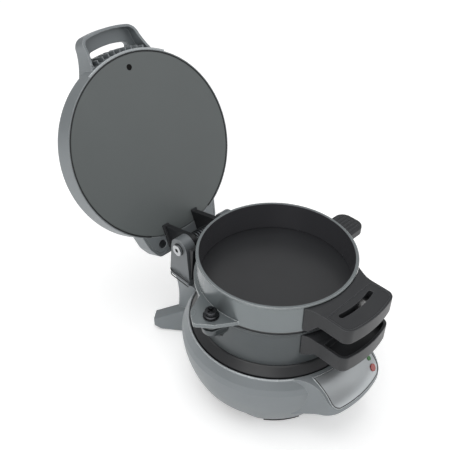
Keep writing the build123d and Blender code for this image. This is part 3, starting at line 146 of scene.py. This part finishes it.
def lensPlastic(name, colour, deep):
    # clear tinted polycarbonate over a dark lamp hole: dark in the middle, lit at the rim
    material, tree = emptyMaterial(name)
    edge = addNode(tree, "ShaderNodeLayerWeight", {"Blend": 0.35})
    mix = addNode(tree, "ShaderNodeMix", {
        "data_type": "RGBA", 6: linearColour(deep), 7: linearColour(colour)},
        {0: edge.outputs["Facing"]})
    shader = addNode(tree, "ShaderNodeBsdfPrincipled", {
        "Roughness": 0.12, "IOR": 1.58, "Coat Weight": 0.5}, {"Base Color": mix.outputs[2]})
    addNode(tree, "ShaderNodeOutputMaterial", None, {"Surface": shader.outputs[0]})
    return material


finishes = {
    # housing and lid: ABS sprayed with fine silver lacquer, so a soft metallic sheen
    "lacqueredHousing": mouldedSurface("lacqueredHousing", {
        "colour": "#898e91", "shade": "#81878a", "cloudMm": 30, "grainMm": 0.8, "grainStrength": 0.12,
        "grainDepthMm": 0.05, "edgeMm": 0.8, "edgeWearAndHighlight": 0.6, "edgeColour": "#c3c7c9",
        "roughness": (0.36, 0.44), "metallic": 0.35}),
    # handles: glass-filled phenolic straight from the mould, near black with a satin face
    "phenolicGrip": mouldedSurface("phenolicGrip", {
        "colour": "#363739", "shade": "#2e2f31", "cloudMm": 18, "grainMm": 0.7, "grainStrength": 0.2,
        "grainDepthMm": 0.05, "edgeMm": 0.9, "edgeWearAndHighlight": 0.6, "edgeColour": "#6b6d70",
        "gloss": 0.3, "roughness": (0.30, 0.42)}),
    # rings: die-cast aluminium under a smooth baked non-stick coat that mirrors a little
    "coatedRing": mouldedSurface("coatedRing", {
        "colour": "#808688", "shade": "#787e80", "cloudMm": 25, "grainMm": 0.7, "grainStrength": 0.06,
        "grainDepthMm": 0.03, "edgeMm": 0.55, "edgeWearAndHighlight": 1.0, "edgeColour": "#d9dddd",
        "boreMm": 52.4, "boreColour": "#59595d", "roughness": (0.22, 0.30), "metallic": 0.5}),
    # lower ring: the same coat, a little rougher, its colour darkened as painted shade for the shade it sits
    # in under the ear and handles
    "shadedLowerRing": mouldedSurface("shadedLowerRing", {
        "colour": "#54595b", "shade": "#4c5153", "cloudMm": 20, "grainMm": 0.7, "grainStrength": 0.06,
        "grainDepthMm": 0.03, "edgeMm": 0.4, "edgeWearAndHighlight": 0.7, "edgeColour": "#aeb2b3",
        "boreMm": 52.4, "boreColour": "#2b2b2d", "roughness": (0.26, 0.36), "metallic": 0.45}),
    # hinge bracket: glass-filled nylon lacquered to go with the housing, its tone set darker than the
    # housing
    "lacqueredBracket": mouldedSurface("lacqueredBracket", {
        "colour": "#75797c", "shade": "#6b6f72", "cloudMm": 22, "grainMm": 0.8, "grainStrength": 0.12,
        "grainDepthMm": 0.05, "edgeMm": 0.8, "edgeWearAndHighlight": 0.5, "edgeColour": "#b0b4b6",
        "roughness": (0.34, 0.42), "metallic": 0.3}),
    # lips and panel frame: the housing's lacquer made much lighter, a painted highlight along these edges
    "paintedHighlightLip": mouldedSurface("paintedHighlightLip", {
        "colour": "#bcc1c3", "shade": "#a9aeb1", "cloudMm": 9, "grainMm": 0.6, "grainStrength": 0.1,
        "grainDepthMm": 0.03, "edgeMm": 0.5, "edgeWearAndHighlight": 0.6, "edgeColour": "#e2e5e6",
        "roughness": (0.22, 0.32), "metallic": 0.35}),
    # carrier and arms: the same phenolic left unpolished, blacker than the grips
    "rawPhenolic": mouldedSurface("rawPhenolic", {
        "colour": "#242527", "shade": "#1d1e20", "cloudMm": 14, "grainMm": 0.7, "grainStrength": 0.3,
        "grainDepthMm": 0.05, "edgeMm": 0.8, "edgeWearAndHighlight": 0.4, "edgeColour": "#55575a",
        "gloss": 0.3, "roughness": (0.34, 0.48)}),
    # painted shade: near-black cord colour for dark lines put in grooves, gaps, creases and hollows, soft
    # and nearly matt
    "paintedShadeCord": mouldedSurface("paintedShadeCord", {
        "colour": "#1c1d1e", "shade": "#242526", "cloudMm": 6, "grainMm": 0.5, "grainStrength": 0.15,
        "grainDepthMm": 0.02, "edgeMm": 0.15, "edgeWearAndHighlight": 0.1, "edgeColour": "#323334",
        "roughness": (0.55, 0.7)}),
    # plates: dark sprayed non-stick coat, smooth with a faint orange-peel
    "darkCoat": mouldedSurface("darkCoat", {
        "colour": "#2e2f31", "shade": "#27282a", "cloudMm": 22, "grainMm": 1.2, "grainStrength": 0.12,
        "grainDepthMm": 0.04, "edgeMm": 0.4, "edgeWearAndHighlight": 0.25, "edgeColour": "#5c5e5f",
        "roughness": (0.30, 0.40)}),
    # upper plate: flat grey non-stick coat, nearly matt
    "lidPlateCoat": mouldedSurface("lidPlateCoat", {
        "colour": "#686d6d", "shade": "#616666", "cloudMm": 60, "grainMm": 1.0, "grainStrength": 0.08,
        "grainDepthMm": 0.03, "edgeMm": 0.4, "edgeWearAndHighlight": 0.3, "edgeColour": "#8b9090",
        "roughness": (0.30, 0.38)}),
    # control panel: vacuum-metallised sheet with a satin lacquer
    "satinPanel": mouldedSurface("satinPanel", {
        "colour": "#bcc0c2", "shade": "#b2b6b9", "cloudMm": 15, "grainMm": 0.6, "grainStrength": 0.05,
        "grainDepthMm": 0.02, "edgeMm": 0.4, "edgeWearAndHighlight": 0.4, "edgeColour": "#d5d8da",
        "roughness": (0.30, 0.36), "metallic": 0.7}),
    # feet: matt black moulded rubber
    "footRubber": mouldedSurface("footRubber", {
        "colour": "#262626", "shade": "#1f1f1f", "cloudMm": 8, "grainMm": 0.6, "grainStrength": 0.3,
        "grainDepthMm": 0.05, "edgeMm": 0.3, "edgeWearAndHighlight": 0.1, "edgeColour": "#3a3a3a",
        "roughness": (0.75, 0.9)}),
    # lamp board: green solder mask on glass laminate
    "maskedBoard": mouldedSurface("maskedBoard", {
        "colour": "#1f5a33", "shade": "#1a4d2b", "cloudMm": 6, "grainMm": 0.5, "grainStrength": 0.1,
        "grainDepthMm": 0.02, "edgeMm": 0.2, "edgeWearAndHighlight": 0.1, "edgeColour": "#3c7a50",
        "roughness": (0.3, 0.4)}),
    # hinge coil: oil-blackened spring wire, bright only along its crown
    "springWire": turnedMetal("springWire", {
        "colour": "#55575a", "shade": "#333537", "stretch": (1, 0.3, 0.3), "lineMm": 0.8,
        "roughness": (0.24, 0.36), "edgeMm": 0.2}),
    # pins and clip: bright drawn steel
    "drawnSteel": turnedMetal("drawnSteel", {
        "colour": "#c2c4c6", "shade": "#a9abad", "stretch": (0.1, 1, 1), "lineMm": 0.7,
        "roughness": (0.18, 0.30), "edgeMm": 0.3}),
    # sunk plate screw: steel coloured near black
    "nearBlackScrew": turnedMetal("nearBlackScrew", {
        "colour": "#2c2b2a", "shade": "#201f1f", "stretch": (1, 1, 1), "lineMm": 1.0,
        "roughness": (0.4, 0.55), "edgeMm": 0.2}),
    # plate's pivot screw and washers: black oxide, oiled
    "oxideSteel": turnedMetal("oxideSteel", {
        "colour": "#4a4b4e", "shade": "#38393b", "stretch": (1, 1, 1), "lineMm": 1.2,
        "roughness": (0.22, 0.34), "edgeMm": 0.3}),
    # screws: dull zinc plate
    "platedScrew": turnedMetal("platedScrew", {
        "colour": "#8f9193", "shade": "#7c7e80", "stretch": (1, 1, 1), "lineMm": 1.2,
        "roughness": (0.28, 0.42), "edgeMm": 0.3}),
    # thermostat, fuse and heat shield: rolled zinc-coated sheet
    "rolledSheet": turnedMetal("rolledSheet", {
        "colour": "#b1b3b5", "shade": "#9d9fa1", "stretch": (0.15, 1, 1), "lineMm": 1.5,
        "roughness": (0.35, 0.5), "edgeMm": 0.2}),
    # heating rods: sheathed steel browned by heat
    "sheathedRod": turnedMetal("sheathedRod", {
        "colour": "#6f6a64", "shade": "#55504b", "stretch": (1, 1, 1), "lineMm": 4.0,
        "roughness": (0.4, 0.55), "edgeMm": 0.2}),
    "redLens": lensPlastic("redLens", "#d6382c", "#7c120c"),
    "greenLens": lensPlastic("greenLens", "#4fb04a", "#14541a"),
}

finishOfSlot = {
    "housing_plastic": "lacqueredHousing",
    "black_plastic": "phenolicGrip",
    "ring_coating": "coatedRing",
    "dark_plate": "darkCoat",
    "lid_plate_coating": "lidPlateCoat",
    "panel_silver": "satinPanel",
    "red_lens": "redLens",
    "green_lens": "greenLens",
    "board_green": "maskedBoard",
    "element_steel": "sheathedRod",
    "sheet_steel": "rolledSheet",
    "screw_steel": "platedScrew",
    "pin_steel": "drawnSteel",
    "foot_rubber": "footRubber",
}

finishOfNode = {  # pieces whose real finish differs from the rest of their slot
    "bottom_ring": "shadedLowerRing",
    "bottom_ring_knuckles": "shadedLowerRing",
    "pivot_rest": "shadedLowerRing",
    "hinge_bracket": "lacqueredBracket",
    "hinge_spring": "springWire",
    "lid_plate_screw": "nearBlackScrew",
    "pivot_screw": "oxideSteel",
    "pivot_washer": "oxideSteel",
    "pivot_spring_washer": "oxideSteel",
    "ring_carrier": "rawPhenolic",
    "carrier_wings": "rawPhenolic",
    "lid_arm_left": "rawPhenolic",
    "lid_arm_right": "rawPhenolic",
}

for part in frame["record"]["subparts"]:
    node = nodes[part["node"]]
    chosen = finishOfNode.get(part["node"], finishOfSlot[part["material_slot"]])
    node.data.materials.clear()
    node.data.materials.append(finishes[chosen])
print("finishes on:", len(finishes))


def cleanMesh(bm, name):
    # doubles merged, every face turned outwards, smooth but for its sharp edges
    bmesh.ops.remove_doubles(bm, verts=bm.verts, dist=mergeMm * mm)
    bmesh.ops.recalc_face_normals(bm, faces=bm.faces)
    mesh = bpy.data.meshes.new(name)
    bm.to_mesh(mesh)
    bm.free()
    for polygon in mesh.polygons:
        polygon.use_smooth = True
    mesh.set_sharp_from_angle(angle=sharpAngle)
    return mesh


def placePiece(name, mesh, finish, body):
    mesh.materials.clear()
    mesh.materials.append(finishes[finish])
    piece = bpy.data.objects.new(name, mesh)
    bpy.context.scene.collection.objects.link(piece)
    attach(piece, body)
    return piece


def growTree(name, sizes):
    # an empty tree with one named input for each size
    tree = bpy.data.node_groups.new(name, "GeometryNodeTree")
    for key, value in sizes.items():
        kind = "NodeSocketInt" if isinstance(value, int) else "NodeSocketFloat"
        tree.interface.new_socket(key, in_out="INPUT", socket_type=kind)
    tree.interface.new_socket("Geometry", in_out="OUTPUT", socket_type="NodeSocketGeometry")
    return tree, addNode(tree, "NodeGroupInput").outputs


def endTree(tree, grown, finish):
    real = addNode(tree, "GeometryNodeRealizeInstances", None, {0: grown})
    coloured = addNode(tree, "GeometryNodeSetMaterial", {"Material": finishes[finish]},
                       {"Geometry": real.outputs[0]})
    addNode(tree, "NodeGroupOutput", None, {0: coloured.outputs[0]})


def raiseTo(tree, grown, level):
    lift = addNode(tree, "ShaderNodeCombineXYZ", None, {"Z": level})
    return addNode(tree, "GeometryNodeTransform", None, {
        "Geometry": grown, "Translation": lift.outputs[0]}).outputs[0]


def sweepAlong(tree, path, section):
    return addNode(tree, "GeometryNodeCurveToMesh", {"Fill Caps": True}, {
        "Curve": path, "Profile Curve": section}).outputs[0]


def boxSection(tree, width, height):
    return addNode(tree, "GeometryNodeCurvePrimitiveQuadrilateral", None, {
        "Width": width, "Height": height}).outputs[0]


def softened(tree, section, steps, radius):
    return addNode(tree, "GeometryNodeFilletCurve", {"mode": "POLY", "Count": steps, "Radius": radius}, {
        "Curve": section}).outputs[0]


def countedPoints(tree, count):
    # points all at one place, which the order of each then turns or scales
    places = addNode(tree, "GeometryNodeMeshLine", {"mode": "OFFSET", "Offset": (0, 0, 0)}, {"Count": count})
    return places.outputs[0], addNode(tree, "GeometryNodeInputIndex").outputs[0]


def frontArc(tree, spread, steps, radius=None):
    # arc of a given spread in degrees, its middle toward the user; of radius 1 if none is given
    start = addNode(tree, "ShaderNodeMath", {"operation": "MULTIPLY_ADD", 1: -0.5, 2: -90.0}, {0: spread})
    startTurn = addNode(tree, "ShaderNodeMath", {"operation": "RADIANS"}, {0: start.outputs[0]})
    sweepTurn = addNode(tree, "ShaderNodeMath", {"operation": "RADIANS"}, {0: spread})
    links = {"Start Angle": startTurn.outputs[0], "Sweep Angle": sweepTurn.outputs[0]}
    if radius is not None:
        links["Radius"] = radius
    return addNode(tree, "GeometryNodeCurveArc", {"Resolution": steps, "Radius": 1.0}, links).outputs[0]


def grownMesh(tree, name, sizes):
    # runs the tree once and keeps what it makes as a plain mesh
    holder = bpy.data.objects.new(name, bpy.data.meshes.new(name))
    bpy.context.scene.collection.objects.link(holder)
    grow = holder.modifiers.new("grow", "NODES")
    grow.node_group = tree
    for item in tree.interface.items_tree:
        if item.in_out == "INPUT":
            grow[item.identifier] = sizes[item.name]
    ready = holder.evaluated_get(bpy.context.evaluated_depsgraph_get())
    mesh = bpy.data.meshes.new_from_object(ready)
    holder.modifiers.remove(grow)
    bpy.data.objects.remove(holder)
    bm = bmesh.new()
    bm.from_mesh(mesh)
    return cleanMesh(bm, name)


lidHinge = {"y": 71.2, "z": 88.0, "openDegrees": 113.6}


def openLid():
    # the turn that carries a piece drawn on the closed lid to where the open lid has it
    hinge = Vector((0, lidHinge["y"] * mm, lidHinge["z"] * mm))
    turn = Matrix.Rotation(-math.radians(lidHinge["openDegrees"]), 4, "X")
    return Matrix.Translation(hinge) @ turn @ Matrix.Translation(-hinge)


plateGrooveShade = {"radius": 69.45 * mm, "width": 0.9 * mm, "depth": 0.5 * mm, "level": 116.13 * mm,
             "spread": 310.0}
grooveShadeSteps = 160


def buildPlateGrooveShade():
    # painted shade: a dark bead in the groove between the upper plate and the lid's lip, left out where the
    # neck comes in
    tree, sizes = growTree("grooveShadeSweep", plateGrooveShade)
    arc = frontArc(tree, sizes["spread"], grooveShadeSteps, sizes["radius"])
    swept = sweepAlong(tree, arc, boxSection(tree, sizes["width"], sizes["depth"]))
    endTree(tree, raiseTo(tree, swept, sizes["level"]), "paintedShadeCord")
    mesh = grownMesh(tree, "plateGrooveShade", plateGrooveShade)
    mesh.transform(openLid())
    placePiece("plateGrooveShade", mesh, "paintedShadeCord", "lid")


gripRidges = {"count": 4, "firstRadius": 70.5 * mm, "pitch": 2.4 * mm, "spread": 24.0, "size": 0.55 * mm}
ridgeLevelMm = {"topGripRidges": 102.0, "bottomGripRidges": 77.0}
ridgeSteps, ridgeSides = 24, 8


def buildGripRidges(name, body):
    # raised lines under a grip, concentric with the rings, where the fingers hold it
    values = {**gripRidges, "level": ridgeLevelMm[name] * mm}
    tree, sizes = growTree(name + "Sweep", values)
    unit = frontArc(tree, sizes["spread"], ridgeSteps)
    places, order = countedPoints(tree, sizes["count"])
    reach = addNode(tree, "ShaderNodeMath", {"operation": "MULTIPLY_ADD"}, {
        0: order, 1: sizes["pitch"], 2: sizes["firstRadius"]})
    scale = addNode(tree, "ShaderNodeCombineXYZ", {"Z": 1.0}, {
        "X": reach.outputs[0], "Y": reach.outputs[0]})
    arcs = addNode(tree, "GeometryNodeInstanceOnPoints", None, {
        "Points": places, "Instance": unit, "Scale": scale.outputs[0]})
    lines = addNode(tree, "GeometryNodeRealizeInstances", None, {0: arcs.outputs[0]})
    section = addNode(tree, "GeometryNodeCurvePrimitiveCircle", {"Resolution": ridgeSides}, {
        "Radius": sizes["size"]})
    swept = sweepAlong(tree, lines.outputs[0], section.outputs[0])
    endTree(tree, raiseTo(tree, swept, sizes["level"]), "phenolicGrip")
    placePiece(name, grownMesh(tree, name, values), "phenolicGrip", body)


coverRibs = {"count": 24, "inner": 31.0 * mm, "outer": 45.0 * mm, "width": 1.3 * mm, "depth": 1.4 * mm,
             "level": 12.9 * mm}
ribCornerMm, ribCornerSteps = 0.3, 3


def buildCoverRibs():
    # stiffening ribs moulded under the base cover, between the vents and the screws
    tree, sizes = growTree("ribCircle", coverRibs)
    inner = addNode(tree, "ShaderNodeCombineXYZ", None, {"X": sizes["inner"]})
    outer = addNode(tree, "ShaderNodeCombineXYZ", None, {"X": sizes["outer"]})
    line = addNode(tree, "GeometryNodeCurvePrimitiveLine", None, {
        "Start": inner.outputs[0], "End": outer.outputs[0]})
    box = boxSection(tree, sizes["depth"], sizes["width"])
    section = softened(tree, box, ribCornerSteps, ribCornerMm * mm)
    rib = sweepAlong(tree, line.outputs[0], section)
    places, order = countedPoints(tree, sizes["count"])
    step = addNode(tree, "ShaderNodeMath", {"operation": "DIVIDE", 0: 2 * math.pi}, {1: sizes["count"]})
    angle = addNode(tree, "ShaderNodeMath", {"operation": "MULTIPLY"}, {0: order, 1: step.outputs[0]})
    turn = addNode(tree, "ShaderNodeCombineXYZ", None, {"Z": angle.outputs[0]})
    ribs = addNode(tree, "GeometryNodeInstanceOnPoints", None, {
        "Points": places, "Instance": rib, "Rotation": turn.outputs[0]})
    endTree(tree, raiseTo(tree, ribs.outputs[0], sizes["level"]), "phenolicGrip")
    placePiece("coverRibs", grownMesh(tree, "coverRibs", coverRibs), "phenolicGrip", "base")


panelSeam = {"cordMm": 0.42, "sinkMm": 0.12, "faceUp": 0.3, "sharpDegrees": 50,
             "frameMm": 0.4, "frameGrowth": 1.022, "frameSinkMm": 0.15, "outward": (0, -0.62, 0.78)}


def buildPanelSeam():
    # painted shade and painted highlight round the control panel: a dark line for the shade in its gap and a
    # bright frame, laid along the sharp outline of its face
    source = nodes["control_panel"]
    bm = bmesh.new()
    bm.from_mesh(source.data)
    bm.transform(source.matrix_world)
    bmesh.ops.remove_doubles(bm, verts=bm.verts, dist=mergeMm * mm)
    bmesh.ops.recalc_face_normals(bm, faces=bm.faces)
    outward = Vector(panelSeam["outward"])
    sharpest = math.radians(panelSeam["sharpDegrees"])
    links = {}
    for edge in bm.edges:
        if len(edge.link_faces) != 2 or edge.calc_face_angle(0) < sharpest:
            continue
        if max(face.normal.dot(outward) for face in edge.link_faces) < panelSeam["faceUp"]:
            continue
        first, second = edge.verts
        links.setdefault(first, []).append(second)
        links.setdefault(second, []).append(first)
    loops = []
    unused = dict.fromkeys(links)  # keeps its order, so each run walks the outline alike
    while unused:
        start = next(iter(unused))
        del unused[start]
        chain = [start]
        while True:
            onward = [v for v in links[chain[-1]] if v in unused]
            if not onward:
                break
            del unused[onward[0]]
            chain.append(onward[0])
        loops.append(chain)
    longest = max(loops, key=len)
    points = [tuple(vert.co - outward * panelSeam["sinkMm"] * mm) for vert in longest]
    middle = sum((vert.co for vert in longest), Vector()) / len(longest)
    around = [tuple(middle + (vert.co - middle) * panelSeam["frameGrowth"]
                    - outward * panelSeam["frameSinkMm"] * mm) for vert in longest]
    bm.free()
    mesh = cordMesh("panelSeam", points, panelSeam["cordMm"] * mm, True)
    placePiece("panelSeam", mesh, "paintedShadeCord", "base")
    frameMesh = cordMesh("panelFrame", around, panelSeam["frameMm"] * mm, True)
    placePiece("panelFrame", frameMesh, "paintedHighlightLip", "base")


rimLip = {"radius": 61.0 * mm, "bead": 0.75 * mm, "level": 55.75 * mm}
rimSteps, rimSides = 160, 12


def buildRimLip():
    # rolled lip round the mouth of the bowl, coloured lighter as a painted highlight
    tree, sizes = growTree("lipSweep", rimLip)
    ring = addNode(tree, "GeometryNodeCurvePrimitiveCircle", {"Resolution": rimSteps}, {
        "Radius": sizes["radius"]})
    section = addNode(tree, "GeometryNodeCurvePrimitiveCircle", {"Resolution": rimSides}, {
        "Radius": sizes["bead"]})
    swept = sweepAlong(tree, ring.outputs[0], section.outputs[0])
    endTree(tree, raiseTo(tree, swept, sizes["level"]), "paintedHighlightLip")
    placePiece("rimLip", grownMesh(tree, "rimLip", rimLip), "paintedHighlightLip", "base")


gripLip = {"radius": 71.0 * mm, "spread": 56.0, "width": 1.7 * mm, "depth": 1.0 * mm, "level": 116.2 * mm}
lipSteps, lipCornerMm, lipCornerSteps = 48, 0.4, 4


def buildGripLip():
    # raised lip of the lid's grip along the plate's edge, ending a little past the grip's roots, coloured
    # lighter as a painted highlight
    tree, sizes = growTree("gripLipSweep", gripLip)
    arc = frontArc(tree, sizes["spread"], lipSteps, sizes["radius"])
    box = boxSection(tree, sizes["width"], sizes["depth"])
    section = softened(tree, box, lipCornerSteps, lipCornerMm * mm)
    endTree(tree, raiseTo(tree, sweepAlong(tree, arc, section), sizes["level"]), "paintedHighlightLip")
    mesh = grownMesh(tree, "gripLip", gripLip)
    mesh.transform(openLid())
    placePiece("gripLip", mesh, "paintedHighlightLip", "lid")


bracketSeam = {"cordMm": 0.4, "halfWidthMm": 27.9, "frontMm": 60.9, "rearMm": 84.35, "cornerMm": 5.4,
               "steps": 8, "levelMm": {"bracketSeamLow": 58.1, "bracketSeamHigh": 62.5}}


def roundedPath(halfWidth, front, rear, corner, steps):
    # open path round the back of the hinge bracket, from its left front to its right front
    path = [(-halfWidth, front)]
    for side, first in ((-1, 180), (1, 90)):
        centre = Vector((side * (halfWidth - corner), rear - corner))
        for step in range(steps + 1):
            angle = math.radians(first - 90 * step / steps)
            path.append((centre.x + corner * math.cos(angle), centre.y + corner * math.sin(angle)))
    return path + [(halfWidth, front)]


cordRoundness = 2


def cordMesh(name, points, radius, cyclic):
    # thin round cord along a run of points, as a plain mesh
    line = bpy.data.curves.new(name, "CURVE")
    line.dimensions = "3D"
    line.bevel_depth = radius
    line.bevel_resolution = cordRoundness
    line.use_fill_caps = not cyclic
    spline = line.splines.new("POLY")
    spline.points.add(len(points) - 1)
    for place, point in zip(spline.points, points):
        place.co = (*point, 1)
    spline.use_cyclic_u = cyclic
    holder = bpy.data.objects.new(name, line)
    bpy.context.scene.collection.objects.link(holder)
    ready = holder.evaluated_get(bpy.context.evaluated_depsgraph_get())
    mesh = bpy.data.meshes.new_from_object(ready)
    bpy.data.objects.remove(holder)
    bm = bmesh.new()
    bm.from_mesh(mesh)
    return cleanMesh(bm, name)


def buildBracketSeam(name):
    # painted shade: dark lines in the creases where the bracket's bead meets the tower below and the ears
    # above
    shape = [bracketSeam[key] for key in ("halfWidthMm", "frontMm", "rearMm", "cornerMm", "steps")]
    level = bracketSeam["levelMm"][name]
    points = [(x * mm, y * mm, level * mm) for x, y in roundedPath(*shape)]
    mesh = cordMesh(name, points, bracketSeam["cordMm"] * mm, False)
    placePiece(name, mesh, "paintedShadeCord", "base")


pinTrim = {"steps": 32, "shadowMm": 0.3, "shadowRadiusMm": 4.6, "earFaceMm": -26.55,
           "socketMm": 0.4, "socketRadiusMm": 1.2, "socketFaceMm": -27.9}


def buildPinTrim():
    # dark line round the hinge pin's head where it meets the ear, and the shade in its dimple
    for name, cord, radius, face in (
            ("pinShadow", pinTrim["shadowMm"], pinTrim["shadowRadiusMm"], pinTrim["earFaceMm"]),
            ("pinSocket", pinTrim["socketMm"], pinTrim["socketRadiusMm"], pinTrim["socketFaceMm"])):
        points = []
        for step in range(pinTrim["steps"]):
            angle = 2 * math.pi * step / pinTrim["steps"]
            points.append((face * mm, (lidHinge["y"] + radius * math.cos(angle)) * mm,
                           (lidHinge["z"] + radius * math.sin(angle)) * mm))
        placePiece(name, cordMesh(name, points, cord * mm, True), "paintedShadeCord", "base")


pivotBoss = {
    "wallX": -53.6, "endX": -60.5, "radius": 6.4, "spread": 2.2, "arcSteps": 24,
    # level in mm, how far it reaches from the wall, and its width
    "levels": [(88.6, 0.94, 0.94), (88.2, 1.0, 1.0), (84.4, 1.0, 0.97), (82.6, 0.9, 0.88),
               (80.4, 0.6, 0.72), (77.6, 0.2, 0.55), (74.0, -0.25, 0.4), (70.0, -0.5, 0.25)],
}


def buildPivotBoss():
    # rounded boss on the lower ring, drawn down into a tapering gusset on the ring's wall
    wall, end, radius = pivotBoss["wallX"], pivotBoss["endX"], pivotBoss["radius"]
    bm = bmesh.new()
    rows = []
    for level, reach, width in pivotBoss["levels"]:
        centre = wall + (end - wall) * reach
        row = [(wall, (radius + pivotBoss["spread"]) * width)]
        for step in range(pivotBoss["arcSteps"] + 1):
            angle = math.pi / 2 + math.pi * step / pivotBoss["arcSteps"]
            across = min(centre + radius * width * math.cos(angle), wall)
            row.append((across, radius * width * math.sin(angle)))
        row.append((wall, -(radius + pivotBoss["spread"]) * width))
        rows.append([bm.verts.new((x * mm, y * mm, level * mm)) for x, y in row])
    for above, below in zip(rows, rows[1:]):
        count = len(above)
        for i in range(count):
            j = (i + 1) % count
            bm.faces.new((above[i], above[j], below[j], below[i]))
    bm.faces.new(rows[0])
    bm.faces.new(list(reversed(rows[-1])))
    mesh = cleanMesh(bm, "pivotBoss")
    piece = placePiece("pivotBoss", mesh, "shadedLowerRing", "lower_ring")
    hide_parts("pivot_rest")


buildPlateGrooveShade()
buildGripRidges("topGripRidges", "upper_ring")
buildGripRidges("bottomGripRidges", "lower_ring")
buildCoverRibs()
buildPanelSeam()
buildRimLip()
buildGripLip()
buildBracketSeam("bracketSeamLow")
buildBracketSeam("bracketSeamHigh")
buildPinTrim()
buildPivotBoss()
print("small pieces built")

studio = {
    "cameraPlace": (-0.2498, -0.2090, 0.3905),
    "cameraAim": (-0.04816, 0.0, 0.16277),
    "lensMm": 50.85,
    "sensorMm": 36.0,
    "skyLow": 0.16,
    "skyHigh": 0.78,
    "floorColour": "#f7f7f7",
    "floorGlow": 0.32,
    "floorSize": 6.0,
}
softboxes = {
    # name: place, aim, side in metres, watts
    "overhead": ((-0.15, 0.15, 1.35), (0.0, 0.05, 0.08), 1.1, 5.5),
    "leftFront": ((-1.1, -0.55, 0.75), (0.0, 0.05, 0.10), 0.9, 3.0),
    "rightFill": ((0.95, -0.9, 0.55), (0.0, 0.0, 0.08), 1.0, 1.4),
}


def aimAt(thing, place, aim):
    thing.location = place
    thing.rotation_mode = "QUATERNION"
    thing.rotation_quaternion = (Vector(aim) - Vector(place)).to_track_quat("-Z", "Y")


def buildFloor():
    half = studio["floorSize"] / 2
    mesh = bpy.data.meshes.new("floorSheet")
    corners = [(-half, -half, 0), (half, -half, 0), (half, half, 0), (-half, half, 0)]
    mesh.from_pydata(corners, [], [(0, 1, 2, 3)])
    floor = bpy.data.objects.new("floorSheet", mesh)
    bpy.context.scene.collection.objects.link(floor)
    material, tree = emptyMaterial("paperFloor")
    ray = addNode(tree, "ShaderNodeLightPath")
    seen = addNode(tree, "ShaderNodeMath", {"operation": "MAXIMUM"}, {
        0: ray.outputs["Is Camera Ray"], 1: ray.outputs["Is Glossy Ray"]})
    seen = addNode(tree, "ShaderNodeMath", {"operation": "MAXIMUM"}, {
        0: seen.outputs[0], 1: ray.outputs["Is Transmission Ray"]})
    glow = addNode(tree, "ShaderNodeMath", {"operation": "MULTIPLY", 1: studio["floorGlow"]}, {
        0: seen.outputs[0]})
    paper = addNode(tree, "ShaderNodeBsdfDiffuse", {"Color": linearColour(studio["floorColour"])})
    light = addNode(tree, "ShaderNodeEmission", None, {"Strength": glow.outputs[0]})
    both = addNode(tree, "ShaderNodeAddShader", None, {0: paper.outputs[0], 1: light.outputs[0]})
    addNode(tree, "ShaderNodeOutputMaterial", None, {"Surface": both.outputs[0]})
    mesh.materials.append(material)


def buildSky():
    world = bpy.data.worlds.new("studioSky")
    bpy.context.scene.world = world
    world.use_nodes = True
    tree = world.node_tree
    tree.nodes.clear()
    ray = addNode(tree, "ShaderNodeLightPath")
    way = addNode(tree, "ShaderNodeTexCoord").outputs["Generated"]  # direction into the sky
    height = addNode(tree, "ShaderNodeSeparateXYZ", None, {0: way})
    soft = addNode(tree, "ShaderNodeMapRange", {
        "From Min": 0.0, "From Max": 0.9, "To Min": studio["skyLow"], "To Max": studio["skyHigh"]},
        {"Value": height.outputs["Z"]})
    level = addNode(tree, "ShaderNodeMix", {"data_type": "FLOAT", 3: 1.0}, {
        0: ray.outputs["Is Camera Ray"], 2: soft.outputs["Result"]})
    sky = addNode(tree, "ShaderNodeBackground", {"Color": (1, 1, 1, 1)}, {"Strength": level.outputs[0]})
    addNode(tree, "ShaderNodeOutputWorld", None, {"Surface": sky.outputs[0]})


def buildLights():
    for name, (place, aim, side, watts) in softboxes.items():
        light = bpy.data.lights.new(name, "AREA")
        light.shape = "SQUARE"
        light.size = side
        light.energy = watts
        lamp = bpy.data.objects.new(name, light)
        bpy.context.scene.collection.objects.link(lamp)
        aimAt(lamp, place, aim)


def buildCamera():
    camera = bpy.data.cameras.new("tableCamera")
    camera.lens = studio["lensMm"]
    camera.sensor_width = studio["sensorMm"]
    camera.clip_start = 0.01
    body = bpy.data.objects.new("tableCamera", camera)
    bpy.context.scene.collection.objects.link(body)
    aimAt(body, studio["cameraPlace"], studio["cameraAim"])
    bpy.context.scene.camera = body


buildFloor()
buildSky()
buildLights()
buildCamera()
bpy.context.scene.view_settings.view_transform = "Standard"
print("studio built")
